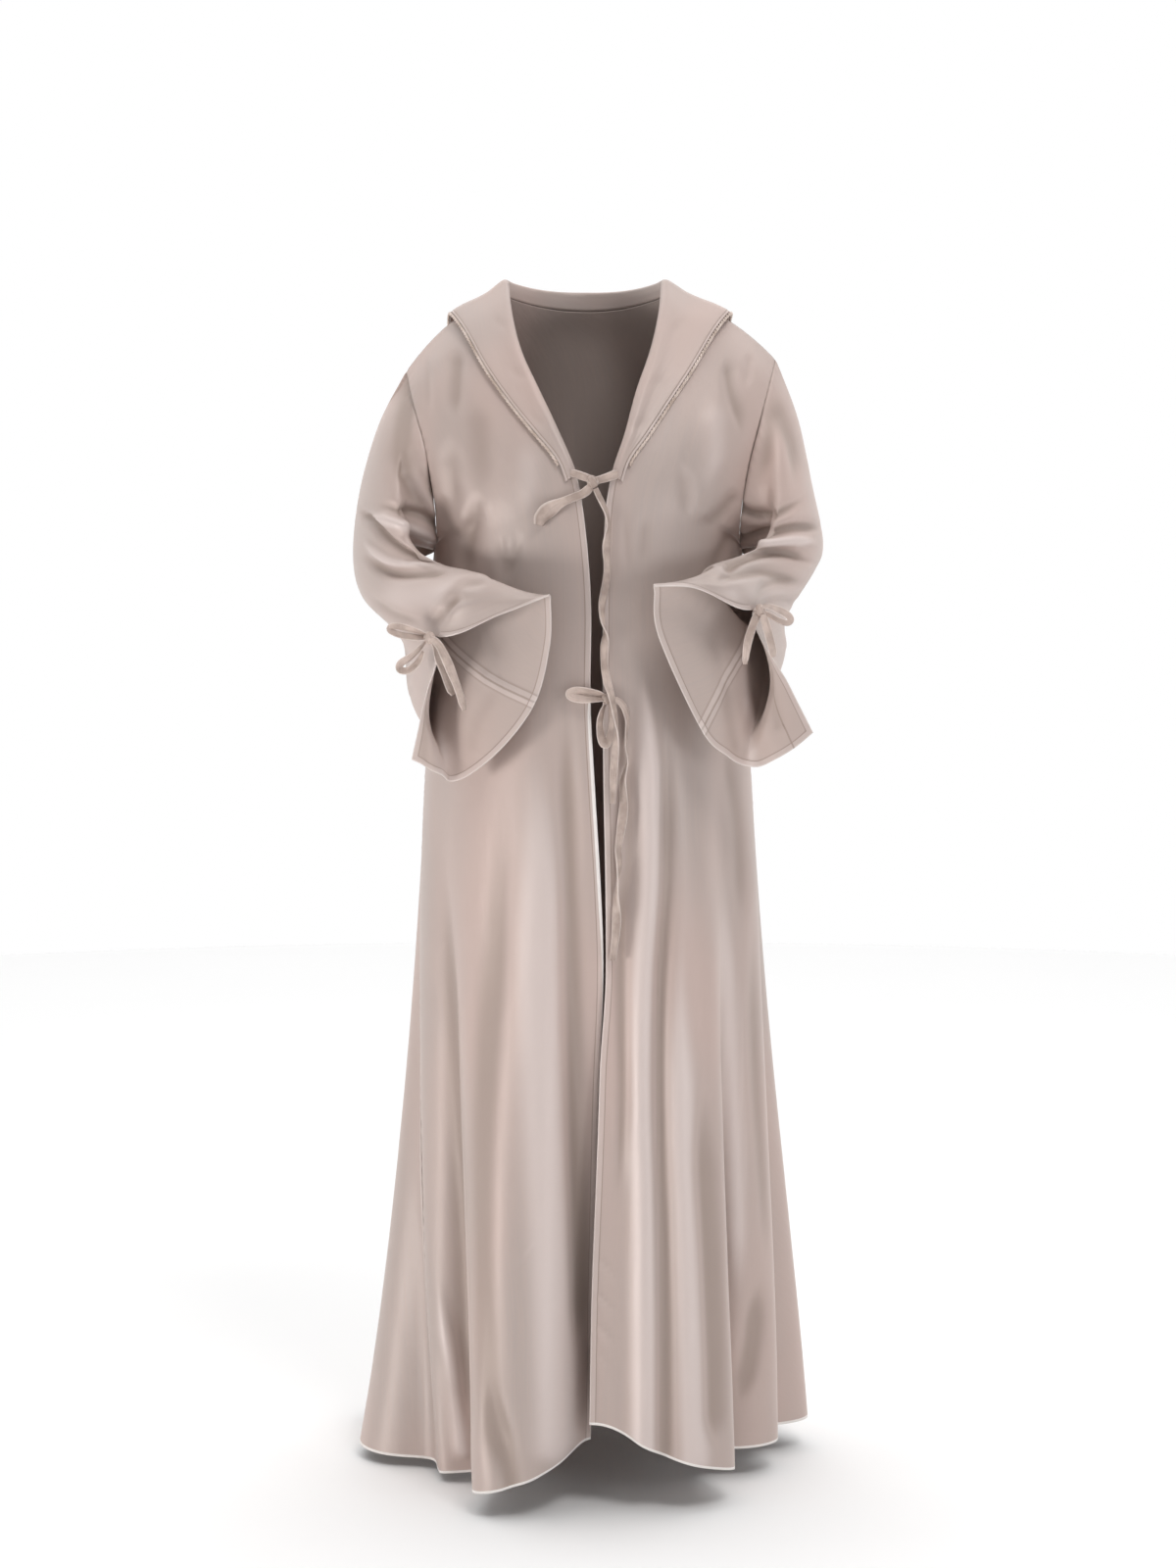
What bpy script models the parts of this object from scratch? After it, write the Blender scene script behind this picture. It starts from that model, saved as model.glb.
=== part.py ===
"""Open-front abaya cloak in satin, as it hangs on its wearer: metres, +Z up, the wearer facing -Y.

The origin is midway between the two points where the shoulder seams meet the neck. Each piece that a maker
would cut is one closed wall. Panels are lofted through the rows of short tables, and each side is named as
the wearer has it: the right front hangs at -X and the left front at +X.
"""

import math

import bmesh
import bpy
import numpy as np

# Driving sizes, in metres
CLOTH = 0.0020  # wall of the satin panels and sleeves
COLLAR_CLOTH = 0.0018
SEAM_GAP = 0.0003  # between two pieces that are sewn together
HEM_Z = -1.300  # hem below the neck points
EDGING_RADIUS = 0.0019  # the twisted edging along the collar's free edge
TIE_WIDE = 0.0090  # straps of the front ties
CUFF_TIE_WIDE = 0.0072
TIE_THICK = 0.0024
TAIL_RADIUS = 0.0036  # the two long ends, which hang twisted like cords
KNOT_SIZE = (0.015, 0.012, 0.014)
KNOT_CLEAR = 0.0008  # from a knot to the flat end of a strap beside it

# How finely the panels are lofted
ARMHOLE_ROWS = 12  # rows of a panel from the shoulder tip to the underarm
SKIRT_ROWS = 18  # rows from the underarm to the hem
FRONT_COLUMNS = 14  # from the front edge to the side seam
NECK_COLUMNS = 4  # from the centre back to the neck point
SLEEVE_ROWS = 20
COLLAR_STATIONS = 26

# Shares of a panel, and of a sleeve
UNDERARM = 0.30  # of a panel's height that lies above the underarm
NECK_SHARE = 0.44  # of the back's top edge that is neckline
SLIT_TOP = 0.75  # of a sleeve's length that is a closed tube, above the open slit

SIDE = {"right": -1.0, "left": 1.0}
BACK_COLUMN = {"right": 0, "left": -1}  # the back's column at each side seam
TURNED = {"right": 1.0, "left": -1.0}  # each front's grid winds the other way round

SATIN = (0.56, 0.44, 0.38)
SATIN_LIGHT = (0.60, 0.48, 0.42)  # the collar, ties and edging, which face the light
SATIN_ROUGHNESS = 0.38
MILLIMETRE = 0.001


def clear_scene():
    for old in list(bpy.data.objects):
        bpy.data.objects.remove(old, do_unlink=True)


def finish(name, mesh_or_curve, colour=SATIN):
    """Gives a piece its satin and puts it in the garment's collection."""
    material = bpy.data.materials.new(f"{name}_satin")
    material.use_nodes = True
    shader = material.node_tree.nodes["Principled BSDF"]
    shader.inputs["Base Color"].default_value = (*colour, 1)
    shader.inputs["Roughness"].default_value = SATIN_ROUGHNESS
    shader.inputs["Metallic"].default_value = 0.0
    mesh_or_curve.materials.append(material)
    made = bpy.data.objects.new(name, mesh_or_curve)
    garment.objects.link(made)
    return made


# ---------------------------------------------------------------- smooth tables
def table(columns, rows):
    """Rows of a table as dictionaries, each value under its column's name."""
    return [dict(zip(columns, row)) for row in rows]


def column(rows, name):
    return np.array([row[name] for row in rows], float)


def through(keys, values, at):
    """A smooth curve through a table's values at its keys, read at the places asked for."""
    keys = np.asarray(keys, float)
    values = np.asarray(values, float)
    at = np.clip(np.asarray(at, float), keys[0], keys[-1])
    slope = np.diff(values, axis=0) / (np.diff(keys) if values.ndim == 1 else np.diff(keys)[:, None])
    ends = np.concatenate([slope[:1], (slope[:-1] + slope[1:]) / 2, slope[-1:]])
    i = np.clip(np.searchsorted(keys, at, side="right") - 1, 0, len(keys) - 2)
    step = keys[i + 1] - keys[i]
    t = (at - keys[i]) / step
    if values.ndim > 1:
        t, step = t[..., None], step[..., None]
    return (
        (1 + 2 * t) * (1 - t) ** 2 * values[i]
        + t * (1 - t) ** 2 * step * ends[i]
        + t * t * (3 - 2 * t) * values[i + 1]
        + t * t * (t - 1) * step * ends[i + 1]
    )


def ease(x):
    x = np.clip(x, 0, 1)
    return x * x * (3 - 2 * x)


def unit(vectors):
    return vectors / np.maximum(np.linalg.norm(vectors, axis=-1, keepdims=True), 1e-12)


# ---------------------------------------------------------------- the body of the cloak
# "down" runs from the shoulder seam, 0, to the hem, 1. A row starts at the front edge or the centre back,
# at "start_y" and "start_z", and ends at the armhole or side seam, at "side", "side_y" and "side_z".
# "turn" is how far it has turned from straight across there, in degrees, and "fall" how late in the row
# its height drops.
PANEL_COLUMNS = ("name", "down", "start_y", "start_z", "side", "side_y", "side_z", "turn", "fall")
FRONT_ROWS = table(
    PANEL_COLUMNS,
    [
        ("shoulder", 0.00, 0.004, -0.004, 0.205, 0.002, -0.086, 8, 1.9),
        ("yoke", 0.05, -0.034, -0.030, 0.198, -0.034, -0.112, 18, 1.7),
        ("high chest", 0.10, -0.068, -0.066, 0.188, -0.060, -0.148, 35, 1.5),
        ("chest", 0.16, -0.102, -0.110, 0.177, -0.074, -0.194, 50, 1.3),
        ("bust", 0.22, -0.132, -0.160, 0.170, -0.070, -0.244, 62, 1.2),
        ("low bust", 0.26, -0.146, -0.198, 0.170, -0.044, -0.275, 78, 1.1),
        ("underarm", 0.30, -0.152, -0.240, 0.174, 0.000, -0.292, 90, 1.0),
        ("ribs", 0.37, -0.158, -0.330, 0.177, 0.000, -0.362, 90, 1.0),
        ("waist", 0.46, -0.166, -0.450, 0.180, 0.000, -0.460, 90, 1.0),
        ("hip", 0.60, -0.180, -0.650, 0.195, 0.000, -0.650, 90, 1.0),
        ("thigh", 0.75, -0.198, -0.880, 0.213, 0.005, -0.880, 90, 1.0),
        ("calf", 0.88, -0.224, -1.100, 0.232, 0.010, -1.100, 90, 1.0),
        ("hem", 1.00, -0.246, HEM_Z, 0.250, 0.015, HEM_Z, 90, 1.0),
    ],
)
BACK_ROWS = table(
    PANEL_COLUMNS,
    [
        ("shoulder", 0.00, 0.072, -0.018, 0.205, 0.002, -0.086, 8, 1.9),
        ("yoke", 0.05, 0.090, -0.048, 0.198, 0.040, -0.110, 16, 1.7),
        ("blades", 0.10, 0.102, -0.086, 0.189, 0.066, -0.148, 30, 1.5),
        ("high back", 0.16, 0.110, -0.136, 0.181, 0.076, -0.196, 45, 1.3),
        ("mid back", 0.22, 0.116, -0.194, 0.176, 0.066, -0.246, 60, 1.2),
        ("low back", 0.26, 0.119, -0.236, 0.173, 0.038, -0.276, 78, 1.1),
        ("underarm", 0.30, 0.121, -0.276, 0.174, 0.000, -0.292, 90, 1.0),
        ("ribs", 0.37, 0.126, -0.352, 0.177, 0.000, -0.362, 90, 1.0),
        ("waist", 0.46, 0.134, -0.456, 0.180, 0.000, -0.460, 90, 1.0),
        ("hip", 0.60, 0.154, -0.650, 0.195, 0.000, -0.650, 90, 1.0),
        ("thigh", 0.75, 0.184, -0.880, 0.213, 0.005, -0.880, 90, 1.0),
        ("calf", 0.88, 0.212, -1.100, 0.232, 0.010, -1.100, 90, 1.0),
        ("hem", 1.00, 0.240, HEM_Z, 0.250, 0.015, HEM_Z, 90, 1.0),
    ],
)
# Where each front's inner edge lies across the body: the V of the neck down to the top tie, then the
# opening.
FRONT_EDGE = table(
    ("down", "right", "left"),
    [
        (0.00, -0.090, 0.0830),
        (0.05, -0.084, 0.0780),
        (0.10, -0.074, 0.0690),
        (0.16, -0.053, 0.0530),
        (0.22, -0.029, 0.0390),
        (0.26, -0.013, 0.0260),
        (0.30, -0.005, 0.0190),
        (0.37, 0.003, 0.0165),
        (0.46, 0.003, 0.0160),
        (0.53, 0.008, 0.0170),
        (0.60, 0.014, 0.0190),
        (0.66, 0.017, 0.0195),
        (0.75, 0.012, 0.0165),
        (0.88, 0.007, 0.0090),
        (1.00, 0.003, 0.0060),
    ],
)
# "at" is a fold's place across the panels, from -1 at the front edge through 0 at the side seam to 1 at
# the centre back, where it begins and at the hem. "out" is how far the cloth stands out there (or, if
# negative, sinks), "wide" the fold's half width, "begins" how far down it starts and "lean" how far its
# crest is pushed towards the side.
FOLDS = table(
    ("side", "at", "at_hem", "wide", "out", "begins", "lean"),
    [
        ("right", -0.66, -0.62, 0.20, 0.058, 0.30, 0.000),
        ("right", -0.30, -0.24, 0.10, -0.030, 0.36, 0.000),
        ("right", -0.05, -0.05, 0.08, 0.014, 0.44, 0.000),
        ("right", 0.06, 0.07, 0.05, -0.022, 0.50, 0.000),
        ("right", 0.17, 0.20, 0.12, 0.034, 0.34, 0.000),
        ("left", -0.66, -0.62, 0.13, 0.028, 0.30, 0.020),
        ("left", -0.88, -0.88, 0.07, -0.010, 0.34, 0.000),
        ("left", -0.44, -0.40, 0.10, -0.048, 0.34, 0.012),
        ("left", -0.20, -0.18, 0.10, 0.014, 0.42, 0.010),
        ("left", -0.01, -0.01, 0.06, -0.022, 0.46, 0.000),
        ("left", 0.13, 0.14, 0.10, 0.032, 0.46, 0.000),
        ("both", 0.36, 0.38, 0.08, -0.026, 0.36, 0.000),
        ("both", 0.53, 0.55, 0.09, 0.024, 0.34, 0.000),
        ("both", 0.75, 0.75, 0.08, -0.030, 0.30, 0.000),
        ("both", 1.00, 1.00, 0.12, 0.024, 0.26, 0.000),
    ],
)
# The side seams swing forward and in as they fall, and the back wraps round in front of them.
SEAM_DRIFT = {
    "right": dict(inward=0.088, forward=0.110, drop=0.026, turn=42, fuller=1.00),
    "left": dict(inward=0.034, forward=0.030, drop=0.000, turn=14, fuller=0.30),
}
# The wearer holds the left shoulder a little higher.
SHOULDER_LIFT = {"right": 0.000, "left": 0.013}
# Each front's lower corner is cut round, so that its hem rises to the opening.
HEM_CORNER = {"right": dict(rise=0.036, wide=0.055), "left": dict(rise=0.062, wide=0.085)}
# Below the last tie the right front's edge rolls back behind the left one's.
ROLL_BACK = {"right": 0.060, "left": 0.022}
ROLL_WIDE = 0.030


def row_values(rows, names, down):
    keys = column(rows, "down")
    return [through(keys, column(rows, name), down) for name in names]


def row_curve(start, end, turn, fall, outward, fuller=0.0, samples=49):
    """One row across a panel: straight across at its start, and turned by the given angle where it ends."""
    t = np.linspace(0, 1, samples)[:, None]
    chord = np.linalg.norm(end[:2] - start[:2]) * (1.17 + fuller)
    first = np.array([1.0, 0.0]) * chord
    last = np.array([math.cos(turn), outward * math.sin(turn)]) * chord
    flat = (
        (1 + 2 * t) * (1 - t) ** 2 * start[:2]
        + t * (1 - t) ** 2 * first
        + t * t * (3 - 2 * t) * end[:2]
        + t * t * (t - 1) * last
    )
    length = np.concatenate([[0], np.cumsum(np.linalg.norm(np.diff(flat, axis=0), axis=1))])
    share = length / length[-1]
    height = start[2] + (end[2] - start[2]) * share**fall
    return share, np.column_stack([flat, height]), length[-1]


def fold_push(side, at, down):
    """How far the folds push the cloth out and along the row, in metres."""
    out = np.zeros_like(at)
    along = np.zeros_like(at)
    for fold in FOLDS:
        if fold["side"] not in (side, "both"):
            continue
        grown = np.clip((down - fold["begins"]) / (1 - fold["begins"]), 0, 1)
        centre = fold["at"] + (fold["at_hem"] - fold["at"]) * grown
        shape = np.exp(-(((at - centre) / fold["wide"]) ** 2)) * ease(grown) * (0.35 + 0.65 * grown)
        out += fold["out"] * shape
        along += fold["lean"] * shape
    return out, along


def pushed(points, at, down, side, forward):
    """A row moved by its folds. "forward" is 1 where the row runs towards the side seam from the front."""
    run = unit(np.gradient(points[:, :2], axis=0))
    normal = np.column_stack([run[:, 1], -run[:, 0]]) * forward
    out, along = fold_push(side, at, down)
    moved = points.copy()
    moved[:, :2] += normal * out[:, None] + run * forward * along[:, None]
    return moved


def side_end(rows, side, down):
    """Where a row meets the armhole or side seam, how far it has turned there, and how its height falls."""
    out, side_y, side_z, turn, fall = row_values(rows, ("side", "side_y", "side_z", "turn", "fall"), down)
    drift = SEAM_DRIFT[side]
    grown = max(0.0, (down - 0.46) / 0.54) ** 1.9
    lift = SHOULDER_LIFT[side] * max(0.0, 1 - down / 0.26) ** 1.5
    end = np.array(
        [
            out - drift["inward"] * grown + lift / 2,
            side_y - drift["forward"] * grown,
            side_z - drift["drop"] * grown + lift,
        ]
    )
    return end, turn, fall, drift["turn"] * grown, drift["fuller"] * grown


def front_row(side, down, across):
    """Points of a front at one height, from its inner edge, 0, to the armhole or side seam, 1."""
    edge_y, edge_z = row_values(FRONT_ROWS, ("start_y", "start_z"), down)
    end, turn, fall, drifted, _ = side_end(FRONT_ROWS, side, down)
    edge_x = row_values(FRONT_EDGE, (side,), down)[0] * SIDE[side]
    start = np.array([edge_x, edge_y, edge_z])
    share, line, length = row_curve(start, end, math.radians(turn - drifted), fall, 1)
    fine = np.linspace(0, 1, 97)
    plain = np.column_stack([np.interp(fine, share, line[:, k]) for k in range(3)])
    moved = pushed(plain, fine - 1, down, side, 1)
    across = np.asarray(across, float)
    points = np.column_stack([np.interp(across, fine, moved[:, k]) for k in range(3)])
    from_edge = across * length
    corner = HEM_CORNER[side]
    near_hem = ease((down - 0.80) / 0.20)
    points[:, 2] += corner["rise"] * near_hem * np.exp(-((from_edge / corner["wide"]) ** 2))
    rolled = ease((down - 0.56) / 0.44) * ROLL_BACK[side]
    points[:, 1] += rolled * np.exp(-((from_edge / ROLL_WIDE) ** 2))
    points[:, 0] *= SIDE[side]
    return points


def plain_back_row(side, down, across):
    middle_y, middle_z = row_values(BACK_ROWS, ("start_y", "start_z"), down)
    end, turn, fall, drifted, fuller = side_end(BACK_ROWS, side, down)
    start = np.array([0.0, middle_y, middle_z])
    share, line, _ = row_curve(start, end, math.radians(turn + drifted), fall, -1, fuller)
    return np.column_stack([np.interp(across, share, line[:, k]) for k in range(3)])


def top_edge(side, across):
    """The back's top edge: the neckline from the centre back to the neck point, then the shoulder seam."""
    outward = (SIDE[side], 1, 1)
    neck_point = front_row(side, 0.0, [0.0])[0] * outward
    middle_y, middle_z = row_values(BACK_ROWS, ("start_y", "start_z"), 0.0)
    share = np.clip(across / NECK_SHARE, 0, 1)
    curve = share**2.2
    neck = np.column_stack(
        [
            neck_point[0] * share,
            middle_y + (neck_point[1] - middle_y) * curve,
            middle_z + (neck_point[2] - middle_z) * curve,
        ]
    )
    seam = front_row(side, 0.0, np.clip((across - NECK_SHARE) / (1 - NECK_SHARE), 0, 1)) * outward
    return np.where((across <= NECK_SHARE)[:, None], neck, seam)


def back_row(side, down, across):
    """Points of one half of the back at one height, from the centre back, 0, to the armhole or side, 1."""
    fine = np.linspace(0, 1, 97)
    moved = pushed(plain_back_row(side, down, fine), 1 - fine, down, side, -1)
    fade = max(0.0, 1 - down / 0.16) ** 2
    if fade > 0:
        moved += fade * (top_edge(side, fine) - plain_back_row(side, 0.0, fine))
    points = np.column_stack([np.interp(across, fine, moved[:, k]) for k in range(3)])
    points[:, 0] *= SIDE[side]
    return points


def downs():
    high = np.linspace(0, UNDERARM, ARMHOLE_ROWS + 1)
    low = np.linspace(UNDERARM, 1, SKIRT_ROWS + 1)
    return np.concatenate([high, low[1:]])


def back_across():
    neck = np.linspace(0, NECK_SHARE, NECK_COLUMNS + 1)
    return np.concatenate([neck, np.linspace(NECK_SHARE, 1, FRONT_COLUMNS + 1)[1:]])


def front_grid(side):
    across = np.linspace(0, 1, FRONT_COLUMNS + 1)
    return np.array([front_row(side, down, across) for down in downs()])


def back_grid():
    """The whole back in one piece, from the wearer's right side seam to the left one."""
    across = back_across()
    rows = []
    for down in downs():
        right = back_row("right", down, across)[::-1]
        left = back_row("left", down, across)
        rows.append(np.concatenate([right[:-1], left]))
    return np.array(rows)


def join_side_seam(front, back, side):
    """Moves the edges of a front and the back to the line midway between them, below the underarm."""
    k = BACK_COLUMN[side]
    front_end = front[ARMHOLE_ROWS:, -1].copy()
    back_end = back[ARMHOLE_ROWS:, k].copy()
    middle = (front_end + back_end) / 2
    step = -1 if k == -1 else 1
    for n, share in enumerate((1, 0.6, 0.25)):
        front[ARMHOLE_ROWS:, -1 - n] += (middle - front_end) * share
        back[ARMHOLE_ROWS:, k + n * step] += (middle - back_end) * share


# ---------------------------------------------------------------- sleeves
# Guide points of each sleeve section in millimetres: out from the middle, forward or back, up or down.
# "near" is the line from the shoulder tip to the slit, "top" the front of the upper arm and the top of
# the forearm, "far" the underarm line and "low" the underside that hangs.
GUIDE_COLUMNS = ("name", "along", "near", "top", "far", "low")
SLEEVE_GUIDES = {
    "right": table(
        GUIDE_COLUMNS,
        [
            ("cap", 0.12, (233, -2, -140), (202, -90, -205), (216, -2, -304), (208, 88, -205)),
            ("upper arm", 0.26, (256, -8, -215), (206, -108, -245), (204, -22, -324), (228, 88, -258)),
            ("above elbow", 0.40, (262, -26, -286), (192, -124, -280), (188, -34, -326), (236, 70, -318)),
            ("elbow", 0.52, (250, -58, -325), (162, -142, -297), (168, -84, -348), (220, 36, -358)),
            ("forearm", 0.66, (214, -124, -352), (130, -182, -303), (134, -140, -362), (200, -10, -396)),
        ],
    ),
    "left": table(
        GUIDE_COLUMNS,
        [
            ("cap", 0.12, (236, -2, -138), (202, -90, -203), (216, -2, -304), (208, 88, -205)),
            ("upper arm", 0.26, (252, -8, -212), (206, -108, -245), (204, -24, -326), (228, 88, -254)),
            ("above elbow", 0.40, (262, -26, -274), (192, -124, -276), (188, -34, -322), (236, 68, -308)),
            ("elbow", 0.52, (250, -58, -298), (164, -142, -290), (168, -84, -348), (224, 36, -334)),
            ("forearm", 0.66, (218, -124, -322), (134, -182, -297), (136, -140, -358), (204, -10, -370)),
        ],
    ),
}
# "flare" pushes the near side of the cloth that hangs below the arm, and "back_flare" its far side.
FLARE_COLUMNS = ("name", "flare", "back_flare")
SLEEVE_FLARES = {
    "right": table(
        FLARE_COLUMNS,
        [
            ("cap", (0, 0, 0), (0, 0, 0)),
            ("upper arm", (0, 0, 0), (0, 0, 0)),
            ("above elbow", (0, 0, 0), (6, -8, 0)),
            ("elbow", (0, 0, 0), (12, -18, 0)),
            ("forearm", (-18, -8, -4), (8, -24, 0)),
        ],
    ),
    "left": table(
        FLARE_COLUMNS,
        [
            ("cap", (0, 0, 0), (0, 0, 0)),
            ("upper arm", (0, 0, 0), (0, 0, 0)),
            ("above elbow", (0, 0, 0), (6, -8, 0)),
            ("elbow", (0, 0, 0), (12, -18, 0)),
            ("forearm", (-4, -4, -8), (12, -24, 0)),
        ],
    ),
}
# The lines of the cuff down its three sections, in millimetres like the guide points, by the angle round
# from the slit's upper edge, over the wrist and down its inner side to the underarm seam, and round the
# hanging bell to the slit's lower edge. The slit opens below the bow.
CUFF_ALONG = {"bow": 0.75, "slit": 0.90, "hem": 1.00}
CUFF_COLUMNS = ("line", "angle", "bow", "slit", "hem")
CUFF_LINES = {
    "right": table(
        CUFF_COLUMNS,
        [
            ("upper edge", 0, (165, -206, -373), (91, -228, -347), (42, -236, -327)),
            ("over the wrist", 45, (139, -216, -335), (76, -228, -331), (41, -228, -327)),
            ("crest", 90, (106, -208, -310), (66, -214, -326), (40, -214, -335)),
            ("inner side", 135, (121, -176, -338), (76, -196, -363), (41, -202, -382)),
            ("underarm seam", 180, (161, -146, -371), (110, -182, -419), (57, -194, -445)),
            ("back", 225, (168, -108, -405), (135, -170, -461), (95, -186, -497)),
            ("low fold", 258, (185, -76, -440), (155, -158, -490), (131, -174, -527)),
            ("low front", 282, (197, -80, -449), (165, -162, -497), (151, -174, -533)),
            ("soft fold", 305, (194, -112, -437), (168, -178, -486), (164, -186, -524)),
            ("flap", 335, (179, -170, -407), (174, -188, -470), (178, -190, -515)),
            ("lower edge", 360, (165, -206, -373), (181, -190, -456), (192, -184, -508)),
        ],
    ),
    "left": table(
        CUFF_COLUMNS,
        [
            ("upper edge", 0, (178, -206, -344), (113, -230, -319), (71, -236, -317)),
            ("over the wrist", 45, (160, -214, -314), (105, -226, -313), (70, -228, -316)),
            ("crest", 90, (135, -206, -299), (100, -212, -317), (71, -214, -324)),
            ("inner side", 135, (151, -172, -338), (108, -194, -363), (76, -202, -373)),
            ("underarm seam", 180, (174, -146, -366), (147, -184, -428), (123, -194, -475)),
            ("back", 225, (181, -108, -382), (167, -172, -463), (151, -186, -504)),
            ("low fold", 258, (205, -76, -392), (178, -162, -481), (171, -176, -516)),
            ("low front", 282, (219, -80, -396), (184, -170, -482), (186, -178, -517)),
            ("soft fold", 305, (215, -112, -388), (191, -188, -470), (205, -188, -507)),
            ("flap", 335, (197, -170, -365), (206, -190, -451), (226, -188, -494)),
            ("lower edge", 360, (178, -206, -344), (219, -186, -428), (245, -180, -479)),
        ],
    ),
}


def loop(near, top, far, low, flare, back_flare, angle):
    """The closed section through four guide points, with the hanging part pushed by the flares."""
    a = np.radians(angle)[:, None]
    mean = (near + top + far + low) / 4
    ring = (
        mean
        + (near - far) / 2 * np.cos(a)
        + (top - low) / 2 * np.sin(a)
        + (near - top + far - low) / 4 * np.cos(2 * a)
    )
    hanging = np.where(np.sin(a) < 0, np.abs(np.sin(2 * a)) ** 3, 0)
    return ring + np.where(np.cos(a) > 0, flare, back_flare) * hanging


def sleeve_grid(side, armhole):
    """A sleeve from the armhole's edge, which runs from the shoulder tip down the front and up the back."""
    outward = np.array([SIDE[side], 1, 1])
    columns = len(armhole) - 1
    armhole = armhole * outward
    corners = armhole[[0, columns // 4, columns // 2, 3 * columns // 4]]
    sections, flares = SLEEVE_GUIDES[side], SLEEVE_FLARES[side]
    lines = CUFF_LINES[side]
    plain = np.linspace(0, 360, columns + 1)
    rings = [loop(*corners, np.zeros(3), np.zeros(3), plain)]
    for section, flare in zip(sections, flares):
        guides = [section[name] for name in ("near", "top", "far", "low")]
        guides += [flare["flare"], flare["back_flare"]]
        rings.append(loop(*np.array(guides) * MILLIMETRE, plain))
    for name in CUFF_ALONG:
        rings.append(through(column(lines, "angle"), column(lines, name) * MILLIMETRE, plain))
    keys = [0.0, *column(sections, "along"), *CUFF_ALONG.values()]
    rest = armhole - rings[0]
    rings = np.array(rings).reshape(len(rings), -1)
    grid = []
    for along in np.linspace(0, 1, SLEEVE_ROWS + 1):
        ring = through(keys, rings, along).reshape(-1, 3)
        ring += rest * np.clip(1 - along / 0.26, 0, 1) ** 2
        if along <= SLIT_TOP:
            ring -= (ring[-1] - ring[0]) * (plain / 360 - 0.5)[:, None]
        grid.append(ring * outward)
    return np.array(grid)


# ---------------------------------------------------------------- walls
def normals_of(grid, closed_rows=None):
    """Unit normals of a grid of points. Rows that closed_rows marks wrap round."""
    down = np.gradient(grid, axis=0)
    across = np.gradient(grid, axis=1)
    if closed_rows is not None:
        wrapped = grid[:, 1] - grid[:, -2]
        across[closed_rows, 0] = wrapped[closed_rows]
        across[closed_rows, -1] = wrapped[closed_rows]
    return unit(np.cross(across, down))


def share_normals(*edges):
    """Gives pieces that meet in a seam the same normals there, so that their walls lie edge to edge."""
    mean = unit(sum(edge for edge in edges))
    for edge in edges:
        edge[...] = mean


def pull_in(grid, edges, gap):
    """The grid with the named edges drawn back along the cloth by half a seam's gap."""
    moved = grid.copy()
    if "top" in edges:
        moved[0] += unit(grid[1] - grid[0]) * gap / 2
    if "first" in edges:
        moved[:, 0] += unit(grid[:, 1] - grid[:, 0]) * gap / 2
    if "last" in edges:
        moved[:, -1] += unit(grid[:, -2] - grid[:, -1]) * gap / 2
    return moved


def cloth_wall(name, grid, normals, thickness, sewn_rows=0, colour=SATIN):
    """A closed wall of cloth on both sides of a grid. Rows before sewn_rows close into rings."""
    rows, columns = grid.shape[:2]
    shell = bmesh.new()

    def layer(points):
        made = []
        for r in range(rows):
            line = [shell.verts.new(place) for place in points[r]]
            if r < sewn_rows:
                shell.verts.remove(line[-1])
                line[-1] = line[0]
            made.append(line)
        return made

    out = layer(grid + normals * thickness / 2)
    back = layer(grid - normals * thickness / 2)
    for r in range(rows - 1):
        for c in range(columns - 1):
            shell.faces.new((out[r][c], out[r][c + 1], out[r + 1][c + 1], out[r + 1][c]))
            shell.faces.new((back[r][c], back[r + 1][c], back[r + 1][c + 1], back[r][c + 1]))
    for c in range(columns - 1):
        shell.faces.new((out[0][c], back[0][c], back[0][c + 1], out[0][c + 1]))
        shell.faces.new((out[-1][c], out[-1][c + 1], back[-1][c + 1], back[-1][c]))
    for r in range(max(sewn_rows - 1, 0), rows - 1):
        shell.faces.new((out[r][0], out[r + 1][0], back[r + 1][0], back[r][0]))
        shell.faces.new((out[r][-1], back[r][-1], back[r + 1][-1], out[r + 1][-1]))
    bmesh.ops.recalc_face_normals(shell, faces=shell.faces)
    mesh = bpy.data.meshes.new(name)
    shell.to_mesh(mesh)
    shell.free()
    mesh.shade_smooth()
    return finish(name, mesh, colour)


# ---------------------------------------------------------------- collar
# Stations along the collar from the top tie up to the shoulder, then round the back. "inner" is where the
# roll starts on the panel's edge and "outer" where the free edge lies, both as (down, across) on the
# front or, behind the shoulder seam, on the back. "stand" is the height of the roll and "off" how far the
# free edge stands away.
COLLAR = table(
    ("name", "panel", "inner", "outer", "stand", "off"),
    [
        ("tie", "front", (0.262, 0.000), (0.266, 0.065), 0.002, 0.0034),
        ("low neck", "front", (0.232, 0.000), (0.238, 0.085), 0.003, 0.0040),
        ("mid neck", "front", (0.190, 0.000), (0.205, 0.160), 0.004, 0.0045),
        ("open neck", "front", (0.130, 0.000), (0.152, 0.275), 0.006, 0.0050),
        ("high neck", "front", (0.062, 0.000), (0.085, 0.400), 0.010, 0.0070),
        ("near shoulder", "front", (0.020, 0.000), (0.030, 0.500), 0.015, 0.0110),
        ("shoulder", "front", (0.000, 0.000), (0.000, 0.560), 0.018, 0.0130),
        ("behind shoulder", "back", (0.000, 0.400), (0.034, 0.730), 0.019, 0.0120),
        ("back corner", "back", (0.000, 0.300), (0.085, 0.620), 0.021, 0.0080),
        ("back", "back", (0.000, 0.160), (0.118, 0.300), 0.023, 0.0055),
        ("centre back", "back", (0.000, 0.000), (0.124, 0.000), 0.024, 0.0050),
    ],
)
SHOULDER_STATION = 6  # the last station on the front
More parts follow.
